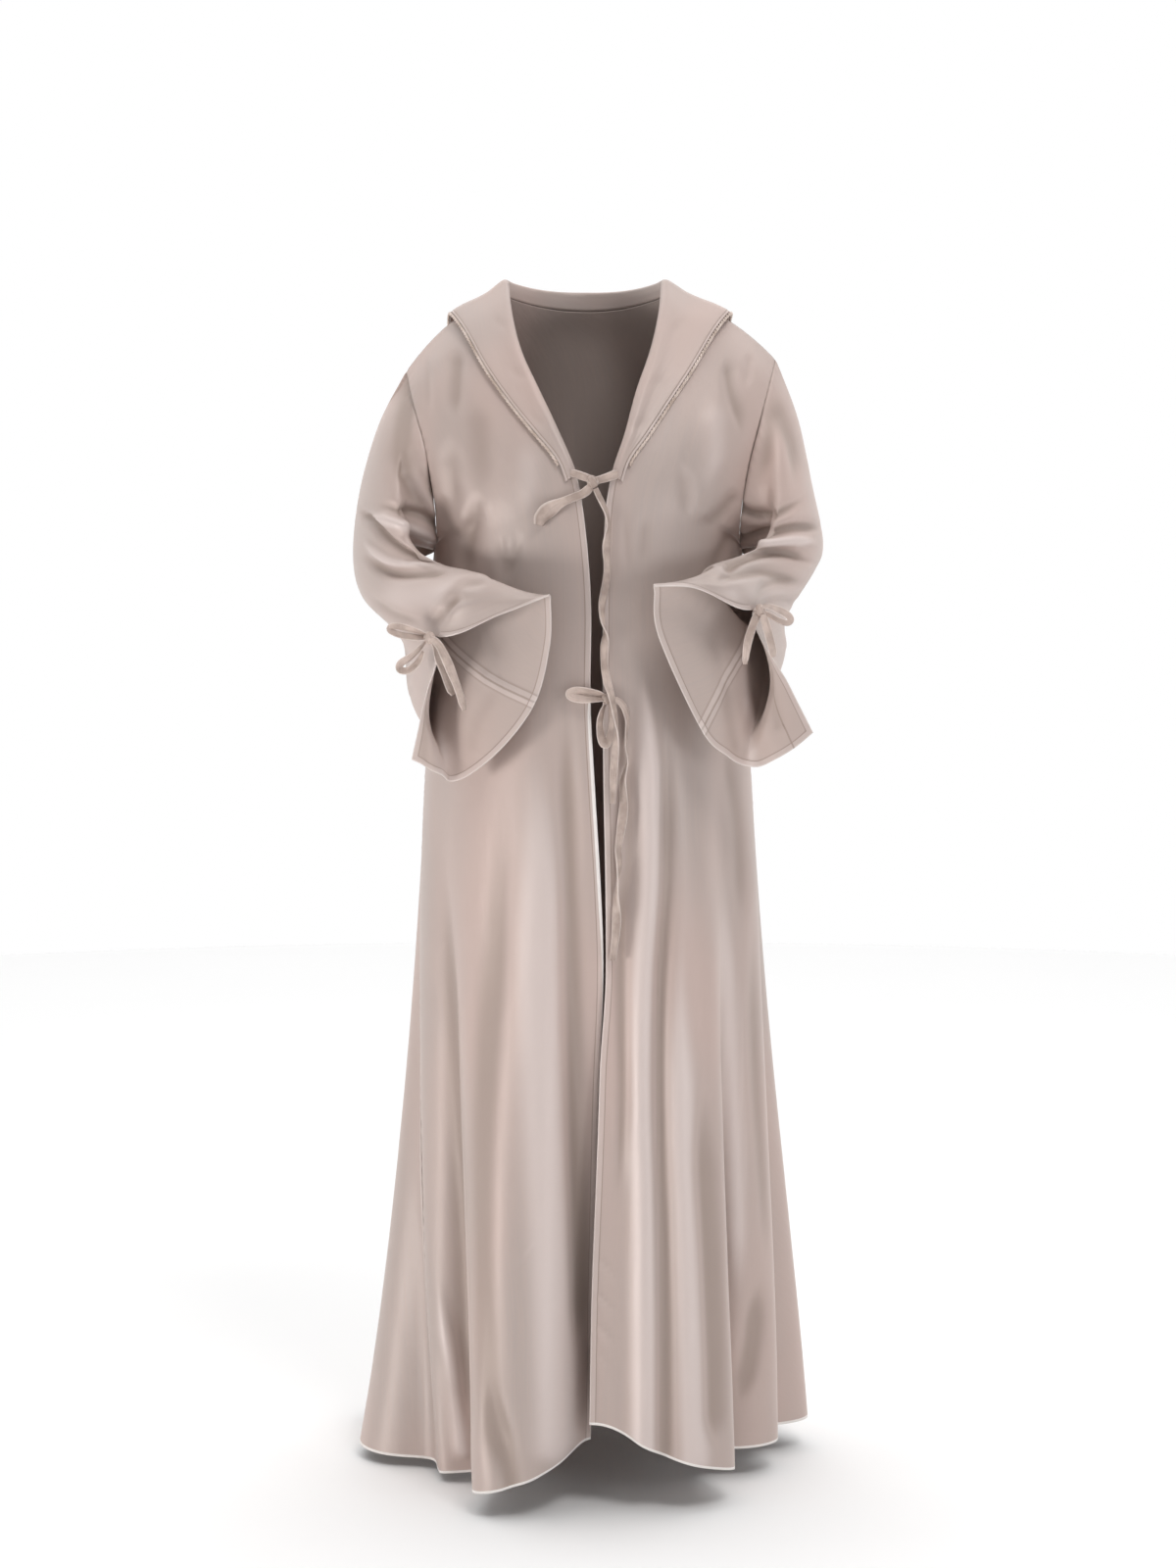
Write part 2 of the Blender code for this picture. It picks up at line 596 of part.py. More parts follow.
# The collar's section from its seam to its free edge.
COLLAR_SECTION = table(
    ("across", "height"),
    [
        (0.00, 0.00),
        (0.00, 0.50),
        (0.02, 0.88),
        (0.09, 1.00),
        (0.21, 0.74),
        (0.38, 0.34),
        (0.58, 0.10),
        (0.79, 0.02),
        (1.00, 0.00),
    ],
)
COLLAR_SPREAD = {"right": 0.91, "left": 1.0}
COLLAR_SEATING = 0.0024  # from the middle of a panel's wall to the middle of the collar's


class Surface:
    """A panel's middle surface, read between its grid's points, with its normals."""

    def __init__(self, grid, normals, across):
        self.grid, self.normals, self.across = grid, normals, across

    def at(self, down, across):
        r = np.interp(down, downs(), np.arange(len(self.grid)))
        c = np.interp(across, self.across, np.arange(len(self.across)))
        i = min(int(r), len(self.grid) - 2)
        j = min(int(c), len(self.across) - 2)
        u, v = r - i, c - j
        found = []
        for field in (self.grid, self.normals):
            found.append(
                field[i, j] * (1 - u) * (1 - v)
                + field[i + 1, j] * u * (1 - v)
                + field[i, j + 1] * (1 - u) * v
                + field[i + 1, j + 1] * u * v
            )
        return found[0], unit(found[1])


def collar_span(side, on_back):
    """The stations of one panel, as (first station's number, inner places, outer places)."""
    spread = COLLAR_SPREAD[side]
    front = COLLAR[: SHOULDER_STATION + 1]
    if not on_back:
        outer = [(row["outer"][0], row["outer"][1] * spread) for row in front]
        return 0, column(front, "inner"), np.array(outer)
    behind = COLLAR[SHOULDER_STATION + 1 :]
    over = NECK_SHARE + (1 - NECK_SHARE) * front[-1]["outer"][1] * spread
    inner = np.vstack([(0.0, NECK_SHARE), column(behind, "inner")])
    outer = np.vstack([(0.0, over), column(behind, "outer")])
    return SHOULDER_STATION, inner, outer


def collar_half(side, front, back_half):
    """Rows of points from the tie to the centre back, each from the seam to the free edge."""
    rows = []
    for k in np.linspace(0, len(COLLAR) - 1, COLLAR_STATIONS):
        on_back = k > SHOULDER_STATION
        first, inner_places, outer_places = collar_span(side, on_back)
        own = first + np.arange(len(inner_places))
        inner = through(own, inner_places, k)
        outer = through(own, outer_places, k)
        stand, off = (through(np.arange(len(COLLAR)), column(COLLAR, name), k) for name in ("stand", "off"))
        up = ease(k / SHOULDER_STATION)
        line = []
        for n, row in enumerate(COLLAR_SECTION):
            even = n / (len(COLLAR_SECTION) - 1)
            share = even + (row["across"] - even) * up
            point, normal = (back_half if on_back else front).at(*(inner + (outer - inner) * share))
            lift = unit(normal * (1 - up) + np.array([0.0, 0.0, 1.0]) * up)
            seating = COLLAR_SEATING + (off - COLLAR_SEATING) * ease(share)
            line.append(point + normal * seating + lift * stand * row["height"])
        rows.append(np.array(line))
    return rows


# ---------------------------------------------------------------- ties
# Routes of the two front ties, in millimetres: (x, z, distance in front of the fronts). "twist" is a
# strap's turn about its own line, in degrees, at its start and its end.
FRONT_TIES = {
    "top": dict(
        knot=(5, -207, 9),
        tail_clear=0.0008,
        straps={
            "strap_right": dict(route=[(-19, -197, 8.5), (-9, -200, 9.5), (5, -205, 9)], twist=(0, 0)),
            "strap_left": dict(
                route=[(33, -198, 9), (22, -202, 10), (5, -207, 9)], twist=(0, 0), clear=0.0003
            ),
            "end": dict(
                route=[
                    (5, -210, 9), (-4, -219, 10), (-16, -224, 9), (-30, -230, 8), (-43, -238, 8),
                    (-51, -246, 8), (-54, -254, 8),
                ],
                twist=(0, 35),
            ),
        },
        tail=[
            (5, -207, 9), (10, -219, 9), (15, -229, 8), (20, -240, 7), (22, -252, 7), (21, -266, 7),
            (20, -281, 7), (21, -299, 7), (19, -320, 7), (15, -341, 7), (16, -358, 7), (19, -372, 7),
            (18, -388, 7), (18, -407, 9), (21, -424, 14), (25, -437, 19), (28, -452, 18), (31, -473, 19),
            (30, -494, 18), (28, -524, 14), (27, -556, 12),
        ],
    ),
    "waist": dict(
        knot=(21, -442, 8),
        tail_clear=0.0003,
        straps={
            "strap_right": dict(route=[(-8, -438, 3.0), (3, -440, 3.0), (14, -441, 3.4)], twist=(0, 0)),
            "loop": dict(
                route=[
                    (21, -439, 9), (12, -434, 12), (0, -431, 12), (-13, -431, 11), (-21, -437, 10),
                    (-15, -443, 11), (-3, -445, 12), (9, -444, 12), (21, -443, 10),
                ],
                twist=(60, 60),
            ),
            "lower_loop": dict(
                route=[
                    (17, -449, 8), (12, -457, 8), (9, -470, 8), (12, -486, 8), (19, -493, 8), (26, -485, 8),
                    (29, -470, 8), (25, -448, 8),
                ],
                twist=(62, 62),
            ),
        },
        tail=[
            (21, -442, 8), (33, -445, 8.2), (39, -452, 7.4), (43, -465, 7.2), (42, -480, 7.1),
            (41, -495, 7.1), (43, -512, 7.1), (38, -533, 7.1), (39, -560, 7.1), (35, -592, 7.1),
            (33, -606, 7.1), (34, -625, 7.1), (31, -662, 7.1), (31, -690, 7.2), (27, -728, 8),
        ],
    ),
}
# Routes of the sleeve ties, in millimetres from the knot: (x outwards, y, z).
CUFF_TIES = {
    "right": {
        "upper_loop": dict(
            route=[
                (0, 0, 3), (12, -3, 9), (28, -2, 14), (40, 2, 14), (43, 4, 7), (32, 1, 1), (16, -2, -1),
                (0, 0, -1),
            ],
            twist=(65, 65),
        ),
        "lower_loop": dict(
            route=[
                (4, 0, -4), (12, -3, -13), (22, -2, -21), (33, 1, -27), (32, 2, -35), (20, 0, -38),
                (9, -2, -30), (4, -1, -17),
            ],
            twist=(60, 60),
        ),
        "end": dict(
            route=[
                (-3, -1, 0), (-8, -2, -10), (-10, -3, -23), (-16, -3, -38),
                (-21, -1, -51), (-26, 0, -62),
            ],
            twist=(10, 25),
        ),
        "outer_end": dict(
            route=[
                (0, -3, 0), (-9, -9, -5), (-17, -11, -19), (-25, -11, -38),
                (-32, -9, -57), (-38, -6, -78),
            ],
            twist=(0, 20),
        ),
    },
    "left": {
        "loop": dict(
            route=[
                (0, 0, 4), (9, -4, 8), (19, -3, 5), (30, 0, -2), (34, 1, -10), (29, 1, -16), (19, 0, -12),
                (10, -1, -5), (0, 0, -1),
            ],
            twist=(65, 65),
        ),
        "end": dict(
            route=[(0, 0, 0), (-5, -4, -9), (-9, -6, -20), (-13, -7, -33), (-15, -6, -46), (-16, -4, -58)],
            twist=(10, 20),
        ),
        "outer_end": dict(
            route=[(3, -6, -4), (6, -8, -14), (9, -8, -25), (12, -7, -36), (15, -5, -50)],
            twist=(5, 25),
        ),
    },
}


def smooth_route(points, samples):
    points = np.array(points, float) * MILLIMETRE
    return through(np.arange(len(points)), points, np.linspace(0, len(points) - 1, samples))


def on_front(points, samples):
    """A smooth route laid in front of the two fronts, from (x, z, distance in front of them)."""
    line = smooth_route(points, samples)
    cloth = np.concatenate([grid.reshape(-1, 3) for grid in fronts.values()])
    placed = []
    for x, z, off in line:
        far = (cloth[:, 0] - x) ** 2 + (cloth[:, 2] - z) ** 2
        near = np.argsort(far)[:4]
        weight = 1 / (far[near] + 1e-6)
        placed.append((x, np.sum(cloth[near, 1] * weight) / np.sum(weight) - off, z))
    return np.array(placed)


def outside_knot(route, centre, clear=KNOT_CLEAR):
    """The part of a route that lies outside the knot."""
    reach = np.linalg.norm((route - centre) / (np.array(KNOT_SIZE) / 2 + clear), axis=1)
    fine = np.linspace(0, len(route) - 1, 40 * len(route))
    free = fine[np.interp(fine, np.arange(len(route)), reach) >= 1]
    places = np.linspace(free[0], free[-1], len(route))
    return np.column_stack([np.interp(places, np.arange(len(route)), route[:, k]) for k in range(3)])


def ribbon(name, route, width, twist):
    """A flat strap swept along its route."""
    run = unit(np.gradient(route, axis=0))
    turns = np.radians(np.linspace(*twist, len(route)))
    shell = bmesh.new()
    rings = []
    for point, along, turn in zip(route, run, turns):
        aside = unit(np.cross(along, np.array([0.0, -1.0, 0.0])))
        facing = unit(np.cross(aside, along))
        wide = (aside * math.cos(turn) + facing * math.sin(turn)) * width / 2
        thin = (facing * math.cos(turn) - aside * math.sin(turn)) * TIE_THICK / 2
        corners = (wide + thin, wide - thin, -wide - thin, -wide + thin)
        rings.append([shell.verts.new(point + corner) for corner in corners])
    for one, two in zip(rings, rings[1:]):
        for k in range(4):
            shell.faces.new((one[k], one[(k + 1) % 4], two[(k + 1) % 4], two[k]))
    shell.faces.new(rings[0][::-1])
    shell.faces.new(rings[-1])
    bmesh.ops.recalc_face_normals(shell, faces=shell.faces)
    mesh = bpy.data.meshes.new(name)
    shell.to_mesh(mesh)
    shell.free()
    return finish(name, mesh, SATIN_LIGHT)


def knot(name, centre):
    ball = bmesh.new()
    bmesh.ops.create_uvsphere(ball, u_segments=10, v_segments=6, radius=0.5)
    bmesh.ops.scale(ball, vec=KNOT_SIZE, verts=ball.verts)
    mesh = bpy.data.meshes.new(name)
    ball.to_mesh(mesh)
    ball.free()
    mesh.shade_smooth()
    finish(name, mesh, SATIN_LIGHT).location = centre


def cord(name, route, radius):
    curve = bpy.data.curves.new(name, "CURVE")
    curve.dimensions = "3D"
    curve.bevel_depth = radius
    curve.bevel_resolution = 2
    curve.use_fill_caps = True
    spline = curve.splines.new("POLY")
    spline.points.add(len(route) - 1)
    for point, place in zip(spline.points, route):
        point.co = (*place, 1)
    return finish(name, curve, SATIN_LIGHT)


# ---------------------------------------------------------------- the garment
clear_scene()
garment = bpy.data.collections.new("abaya_cloak")
bpy.context.scene.collection.children.link(garment)

fronts = {side: front_grid(side) for side in SIDE}
back = back_grid()
sleeves = {}
for side in SIDE:
    join_side_seam(fronts[side], back, side)
    down_the_front = fronts[side][: ARMHOLE_ROWS + 1, -1]
    up_the_back = back[:ARMHOLE_ROWS, BACK_COLUMN[side]][::-1]
    sleeves[side] = sleeve_grid(side, np.concatenate([down_the_front, up_the_back]))

front_normals = {side: normals_of(fronts[side]) * TURNED[side] for side in SIDE}
back_normals = normals_of(back)
sleeve_normals = {}
sewn = int(SLIT_TOP * SLEEVE_ROWS) + 1
for side in SIDE:
    grid = sleeves[side]
    grid[:sewn, -1] = grid[:sewn, 0]
    normals = normals_of(grid, np.arange(len(grid)) < sewn) * -TURNED[side]
    normals[:sewn, -1] = normals[:sewn, 0]
    sleeve_normals[side] = normals

# Seams: side, shoulder, the armhole's front and back, then the points where three pieces meet.
for side in SIDE:
    front, sleeve = front_normals[side], sleeve_normals[side]
    k = BACK_COLUMN[side]
    shoulder = back_normals[0, ::-1] if side == "left" else back_normals[0]
    share_normals(front[ARMHOLE_ROWS:, -1], back_normals[ARMHOLE_ROWS:, k])
    share_normals(front[0, ::-1], shoulder[: FRONT_COLUMNS + 1])
    share_normals(front[: ARMHOLE_ROWS + 1, -1], sleeve[0, : ARMHOLE_ROWS + 1])
    share_normals(back_normals[: ARMHOLE_ROWS + 1, k], sleeve[0, ARMHOLE_ROWS:][::-1])
    share_normals(front[0, -1], back_normals[0, k], sleeve[0, 0], sleeve[0, -1])
    share_normals(front[ARMHOLE_ROWS, -1], back_normals[ARMHOLE_ROWS, k], sleeve[0, ARMHOLE_ROWS])

for side in SIDE:
    panel = pull_in(fronts[side], ("top", "last"), SEAM_GAP)
    cloth_wall(f"front_{side}", panel, front_normals[side], CLOTH)
    tube = pull_in(sleeves[side], ("top",), 2 * SEAM_GAP)
    cloth_wall(f"sleeve_{side}", tube, sleeve_normals[side], CLOTH, sewn)
cloth_wall("back", pull_in(back, ("top", "first", "last"), SEAM_GAP), back_normals, CLOTH)

# The collar, in one piece from tie to tie, and the edging along its free edge.
centre_back = len(back_across()) - 1
collar_rows = {}
for side in SIDE:
    half = slice(centre_back, None, int(SIDE[side]))
    on_the_front = Surface(fronts[side], front_normals[side], np.linspace(0, 1, FRONT_COLUMNS + 1))
    on_the_back = Surface(back[:, half], back_normals[:, half], back_across())
    collar_rows[side] = collar_half(side, on_the_front, on_the_back)
collar_grid = np.array(collar_rows["right"] + collar_rows["left"][::-1][1:])
collar_normals = normals_of(collar_grid)
cloth_wall("collar", collar_grid, collar_normals, COLLAR_CLOTH, colour=SATIN_LIGHT)

edge = collar_grid[:, -1]
outward = unit(np.cross(collar_normals[:, -1], np.gradient(edge, axis=0)))
outward *= np.sign(np.sum(outward * (edge - collar_grid[:, -2]), axis=1))[:, None]
cord("collar_edging", (edge + outward * (EDGING_RADIUS + SEAM_GAP))[2:-2], EDGING_RADIUS)

# The two front ties.
for name, tie in FRONT_TIES.items():
    centre = on_front([tie["knot"], tie["knot"]], 2)[0]
    knot(f"tie_{name}_knot", centre)
    for part, strap in tie["straps"].items():
        route = on_front(strap["route"], 2 * len(strap["route"]))
        route = outside_knot(route, centre, strap.get("clear", KNOT_CLEAR))
        ribbon(f"tie_{name}_{part}", route, TIE_WIDE, strap["twist"])
    tail = on_front(tie["tail"], 2 * len(tie["tail"]))
    cord(f"tie_{name}_tail", outside_knot(tail, centre, tie["tail_clear"]), TAIL_RADIUS)

# The tie that gathers each sleeve's slit at its top.
for side in SIDE:
    slit_top, normal = sleeves[side][sewn - 1, 0], sleeve_normals[side][sewn - 1, 0]
    knot_reach = np.linalg.norm(normal * np.array(KNOT_SIZE) / 2)
    centre = slit_top + normal * (CLOTH / 2 + SEAM_GAP + knot_reach)
    knot(f"cuff_{side}_knot", centre)
    for part, strap in CUFF_TIES[side].items():
        route = smooth_route(strap["route"], 2 * len(strap["route"])) * (SIDE[side], 1, 1) + centre
        ribbon(f"cuff_{side}_{part}", outside_knot(route, centre), CUFF_TIE_WIDE, strap["twist"])
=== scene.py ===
"""Dresses the fixed frame of an open-front satin abaya cloak: metres, +Z up, the wearer facing -Y."""

import math

import bmesh
import bpy
import numpy as np
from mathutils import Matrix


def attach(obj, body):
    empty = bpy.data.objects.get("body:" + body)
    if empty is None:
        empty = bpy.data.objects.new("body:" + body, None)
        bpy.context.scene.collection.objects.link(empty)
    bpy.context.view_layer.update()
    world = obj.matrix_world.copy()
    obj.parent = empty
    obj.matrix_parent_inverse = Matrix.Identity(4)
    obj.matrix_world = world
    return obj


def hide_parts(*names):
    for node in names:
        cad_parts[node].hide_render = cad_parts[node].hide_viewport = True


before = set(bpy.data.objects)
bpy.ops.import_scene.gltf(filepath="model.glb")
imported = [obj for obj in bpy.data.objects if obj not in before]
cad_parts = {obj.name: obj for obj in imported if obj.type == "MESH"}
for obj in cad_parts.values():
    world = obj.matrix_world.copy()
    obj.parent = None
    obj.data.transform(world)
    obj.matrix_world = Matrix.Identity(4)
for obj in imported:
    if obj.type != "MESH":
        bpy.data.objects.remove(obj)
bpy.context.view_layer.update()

# ---------------------------------------------------------------- studio
# A white room: a pale paper floor under the hem, a broad ceiling of light behind the cloak, a soft lamp
# high in front and one low on each side. The air is white behind the cloak, grey low in front and dark high
# in front, so that the folds keep their shade. The camera stands at chest height and looks slightly down.
FLOOR_Z = -1.3345
FLOOR_RADIUS = 4.2
FLOOR_PAPER = (0.895, 0.895, 0.895, 1), (0.905, 0.905, 0.905, 1)
CLOAK_MIDDLE = (0.0, 0.0, -0.55)
LAMPS = [
    # name, place, aimed at, size, power, colour
    ("lamp_ceiling", (0.0, 2.6, 5.5), (0.0, 2.6, 0.0), 12.0, 530, (1.0, 1.0, 1.0)),
    ("lamp_front", (1.1, -2.5, 2.9), CLOAK_MIDDLE, 1.3, 54, (1.0, 0.985, 0.975)),
    ("lamp_right", (2.6, -2.6, -0.5), CLOAK_MIDDLE, 1.0, 18, (0.97, 0.98, 1.0)),
    ("lamp_left", (-2.6, -1.8, -1.0), CLOAK_MIDDLE, 0.8, 36, (1.0, 0.98, 0.96)),
]
AIR_BEHIND = (1.0, 1.0, 1.0, 1)
AIR_LOW_IN_FRONT = (0.60, 0.60, 0.605, 1)
AIR_HIGH_IN_FRONT = (0.08, 0.08, 0.08, 1)
CAMERA_PLACE = (0, -4.2, -0.134)
CAMERA_TILT = 84.3  # degrees up from looking straight down
CAMERA_LENS = 85.05  # millimetres, over a sensor 36 mm high
SENSOR_HEIGHT = 36

for name, place, target, size, power, colour in LAMPS:
    lamp = bpy.data.lights.new(name, "AREA")
    lamp.size, lamp.energy, lamp.color = size, power, colour
    stand = bpy.data.objects.new(name, lamp)
    stand.location = place
    aim = np.array(target) - np.array(place)
    tilt = math.acos(-aim[2] / np.linalg.norm(aim))
    stand.rotation_euler = (tilt, 0, math.atan2(aim[1], aim[0]) - math.pi / 2)
    bpy.context.scene.collection.objects.link(stand)

bpy.context.scene.view_settings.view_transform = "Standard"

camera = bpy.data.objects.new("camera", bpy.data.cameras.new("camera"))
camera.data.sensor_fit = "VERTICAL"
camera.data.sensor_height = SENSOR_HEIGHT
camera.data.lens = CAMERA_LENS
camera.location = CAMERA_PLACE
camera.rotation_euler = (math.radians(CAMERA_TILT), 0, 0)
bpy.context.scene.collection.objects.link(camera)
bpy.context.scene.camera = camera


class Wire:
    """A shader value that takes part in Python sums. A number stands for itself."""

    def __init__(self, tree, socket=None):
        self.tree, self.socket = tree, socket

    def node(self, kind, settings=None, sockets=None, out=0):
        """Adds a node of this kind, sets it, joins its sockets, and returns one of its outputs."""
        made = self.tree.nodes.new("ShaderNode" + kind)
        for name, value in (settings or {}).items():
            setattr(made, name, value)
        for name, value in (sockets or {}).items():
            if isinstance(value, Wire):
                self.tree.links.new(value.socket, made.inputs[name])
            else:
                made.inputs[name].default_value = value
        return Wire(self.tree, made.outputs[out])

    def sum(self, operation, *values):
        return self.node("Math", {"operation": operation}, dict(enumerate(values)))

    def __add__(self, other):
        return self.sum("ADD", self, other)

    def __radd__(self, other):
        return self.sum("ADD", other, self)

    def __sub__(self, other):
        return self.sum("SUBTRACT", self, other)

    def __rsub__(self, other):
        return self.sum("SUBTRACT", other, self)

    def __mul__(self, other):
        return self.sum("MULTIPLY", self, other)

    def __rmul__(self, other):
        return self.sum("MULTIPLY", other, self)

    def __truediv__(self, other):
        return self.sum("DIVIDE", self, other)

    def between(self, low, high):
        """0 below the first value, 1 above the second and smooth between them."""
        sockets = {"Value": self, "From Min": low, "From Max": high}
        return self.node("MapRange", {"interpolation_type": "SMOOTHSTEP"}, sockets)

    def sine(self):
        return self.sum("SINE", self)

    def blend(self, one, other):
        """A colour that goes from one to the other as this value goes from 0 to 1."""
        return self.node("Mix", {"data_type": "RGBA"}, {0: self, 6: one, 7: other}, 2)

    def noise(self, size, scale, detail=2.0, roughness=0.5):
        """Noise over this vector, stretched by the three numbers of size."""
        place = self.node("Mapping", None, {"Vector": self, "Scale": size})
        sockets = {"Vector": place, "Scale": scale, "Detail": detail, "Roughness": roughness}
        return self.node("TexNoise", None, sockets)

    def bump(self, strength, distance, below=None):
        """A normal raised by this height."""
        sockets = {"Height": self, "Strength": strength, "Distance": distance}
        if below is not None:
            sockets["Normal"] = below
        return self.node("Bump", None, sockets)


def object_place(wire):
    """Where a point lies, in the object's own coordinates."""
    return wire.node("TexCoord", None, None, 3)


def start_material(name):
    """A new material with its shader and the start of its wiring."""
    made = bpy.data.materials.new(name)
    made.use_nodes = True
    return made, made.node_tree.nodes["Principled BSDF"], Wire(made.node_tree)


air = bpy.data.worlds.new("studio_air")
air.use_nodes = True
way = Wire(air.node_tree).node("TexCoord", None, None, 0)
behind, above = (way.node("SeparateXYZ", None, {0: way}, out) for out in (1, 2))
in_front = above.between(-0.05, 0.55).blend(AIR_LOW_IN_FRONT, AIR_HIGH_IN_FRONT)
room = behind.between(-0.25, 0.55).blend(in_front, AIR_BEHIND)
air.node_tree.links.new(room.socket, air.node_tree.nodes["Background"].inputs["Color"])
bpy.context.scene.world = air

disc = bmesh.new()
bmesh.ops.create_circle(disc, cap_ends=True, radius=FLOOR_RADIUS, segments=96)
bmesh.ops.translate(disc, verts=disc.verts, vec=(0, 0, FLOOR_Z))
floor_mesh = bpy.data.meshes.new("studio_floor")
disc.to_mesh(floor_mesh)
disc.free()
paper, shader, wire = start_material("pale_paper")
paper_colour = object_place(wire).noise((1, 1, 1), 3.0).blend(*FLOOR_PAPER)
paper.node_tree.links.new(paper_colour.socket, shader.inputs["Base Color"])
shader.inputs["Roughness"].default_value = 0.85
floor_mesh.materials.append(paper)
floor = bpy.data.objects.new("studio_floor", floor_mesh)
bpy.context.scene.collection.objects.link(floor)

# ---------------------------------------------------------------- the satin
# A soft polyester satin in dusty rose beige, about 0.4 mm thick. Its face has long floats that catch the
# light along the warp, and its back is duller. Hems are turned and top-stitched; the skirt's edge is
# overlocked in a pale thread.
SATIN = (0.500, 0.393, 0.346, 1)
SATIN_ROSE = (0.520, 0.396, 0.357, 1)
SATIN_GREY = (0.428, 0.356, 0.328, 1)
SATIN_BACK = (0.400, 0.310, 0.262, 1)
SATIN_SHADE = (0.300, 0.230, 0.195, 1)
SATIN_LIT = (0.660, 0.566, 0.536, 1)
THREAD = (0.38, 0.29, 0.25, 1)
PALE_THREAD_AND_HIGHLIGHT = (0.90, 0.86, 0.83, 1)
SHINE = 0.14  # how much the warp's floats reflect
BACK_DULLED = 0.08  # how much less of that the back does
WEFT_PITCH = 0.00042
WARP_PITCH = 0.00036
STITCH = 0.0026  # length of one top stitch with its gap
STITCH_HALF_WIDE = 0.0006
FACING_STITCH_HALF_WIDE = 0.0010
STITCHED_AT = 0.0068  # from a turned hem's edge to its stitches
OVERLOCKED = 0.0032  # width of an overlocked edge
SEAM_HALF_WIDE = 0.0022
ALLOWANCE = 0.0070  # how far a seam's turned cloth reaches on the back


def satin_weave(weft, warp, share):
    """The height of the weave's threads, of which this share are the weft's."""
    across = (weft * (2 * math.pi / WEFT_PITCH)).sine() * share
    return across + (warp * (2 * math.pi / WARP_PITCH)).sine() * (1 - share)


def finish_satin(made, shader, looks, specular):
    """Joins what changes over the cloth to its shader, and gives it satin's soft sheen."""
    for socket, value in looks.items():
        made.node_tree.links.new(value.socket, shader.inputs[socket])
    shader.inputs["Specular IOR Level"].default_value = specular
    shader.inputs["Sheen Weight"].default_value = 0.22
    shader.inputs["Sheen Roughness"].default_value = 0.42
    shader.inputs["Sheen Tint"].default_value = (1.0, 0.93, 0.88, 1)


# Every panel carries five maps in metres: "cloth" along its weft and warp, "hem" and "overlock" along and
# in from such an edge, "fold" with the folds' height and the way to a second line of stitches, and "seam",
# whose first value is 1 on the back of the cloth.
body_satin, shader, wire = start_material("body_satin")
layers = {}
for layer in ("cloth", "hem", "overlock", "fold", "seam"):
    place = wire.node("UVMap", {"uv_map": layer})
    layers[layer] = (place, *(place.node("SeparateXYZ", None, {0: place}, out) for out in (0, 1)))
cloth, weft, warp = layers["cloth"]
_, along_hem, from_hem = layers["hem"]
_, along_lock, from_lock = layers["overlock"]
_, inside, from_seam = layers["seam"]
_, fold, from_line = layers["fold"]

# Colour: broad rosy and greyish patches of painted sheen, fine streaks along the warp, then painted shade
# in the folds' hollows and painted sheen on their crests.
patches = object_place(wire).noise((1, 1, 0.35), 5.5, 2.0).between(0.36, 0.66)
colour = patches.blend(SATIN_GREY, SATIN_ROSE)
streaks = cloth.noise((420, 9, 1), 1.0, 3.0, 0.6).between(0.25, 0.75)
colour = (streaks * 0.35).blend(colour, SATIN)
colour = ((0.0 - fold).between(0.05, 1.1) * 0.72).blend(colour, SATIN_SHADE)
colour = (fold.between(0.05, 1.1) * 0.75).blend(colour, SATIN_LIT)
# The back of the cloth is a little darker: partly its own duller face, partly painted shade inside the cloak.
colour = (inside * 0.10).blend(colour, SATIN_BACK)

# Seams have painted shade in their groove. On the back, the cloth turned beside them has a painted
# highlight, with painted shade past it. The turned band of a hem also has a painted highlight.
groove = 1.0 - from_seam.between(0.0, SEAM_HALF_WIDE)
colour = (groove * 0.8).blend(colour, SATIN_SHADE)
turning = 1.0 - from_hem.between(STITCHED_AT - 0.0012, STITCHED_AT)
to_turned_edge = from_seam.between(ALLOWANCE - 0.0008, ALLOWANCE)
allowance = inside * (from_seam.between(0.0008, 0.0016) - to_turned_edge)
colour = ((turning * 0.9 + allowance) * 0.35).blend(colour, SATIN_LIT)
past = inside * (to_turned_edge - from_seam.between(ALLOWANCE + 0.0004, ALLOWANCE + 0.0030))
colour = (past * 0.5).blend(colour, SATIN_SHADE)
# Painted highlight along a hem's folded edge, where it catches the light, in the pale thread's colour.
folded_edge_highlight = 1.0 - from_hem.between(0.0005, 0.0018)
colour = (folded_edge_highlight * 0.28).blend(colour, PALE_THREAD_AND_HIGHLIGHT)

# Top stitches: short raised threads with dimples between them, on a line of painted shade.
across = (from_hem - STITCHED_AT) / STITCH_HALF_WIDE
again = from_line / FACING_STITCH_HALF_WIDE
line = 2.0 - (across * across).between(0.0, 1.6) - (again * again).between(0.0, 1.6)
dash = ((along_hem * (2 * math.pi / STITCH)).sine() + 0.55).between(0.0, 0.35)
stitches = line * dash
colour = (line * 0.8).blend(colour, SATIN_SHADE)
colour = (stitches * 0.6).blend(colour, THREAD)

# Overlocked edge: pale slanting threads over the raw edge.
covered = 1.0 - from_lock.between(OVERLOCKED - 0.0006, OVERLOCKED)
slant = ((along_lock * 5200.0) + (from_lock * 900.0)).sine()
thread = covered * (slant * 0.5 + 0.5)
colour = (covered * 0.72 + thread * 0.28).blend(colour, PALE_THREAD_AND_HIGHLIGHT)

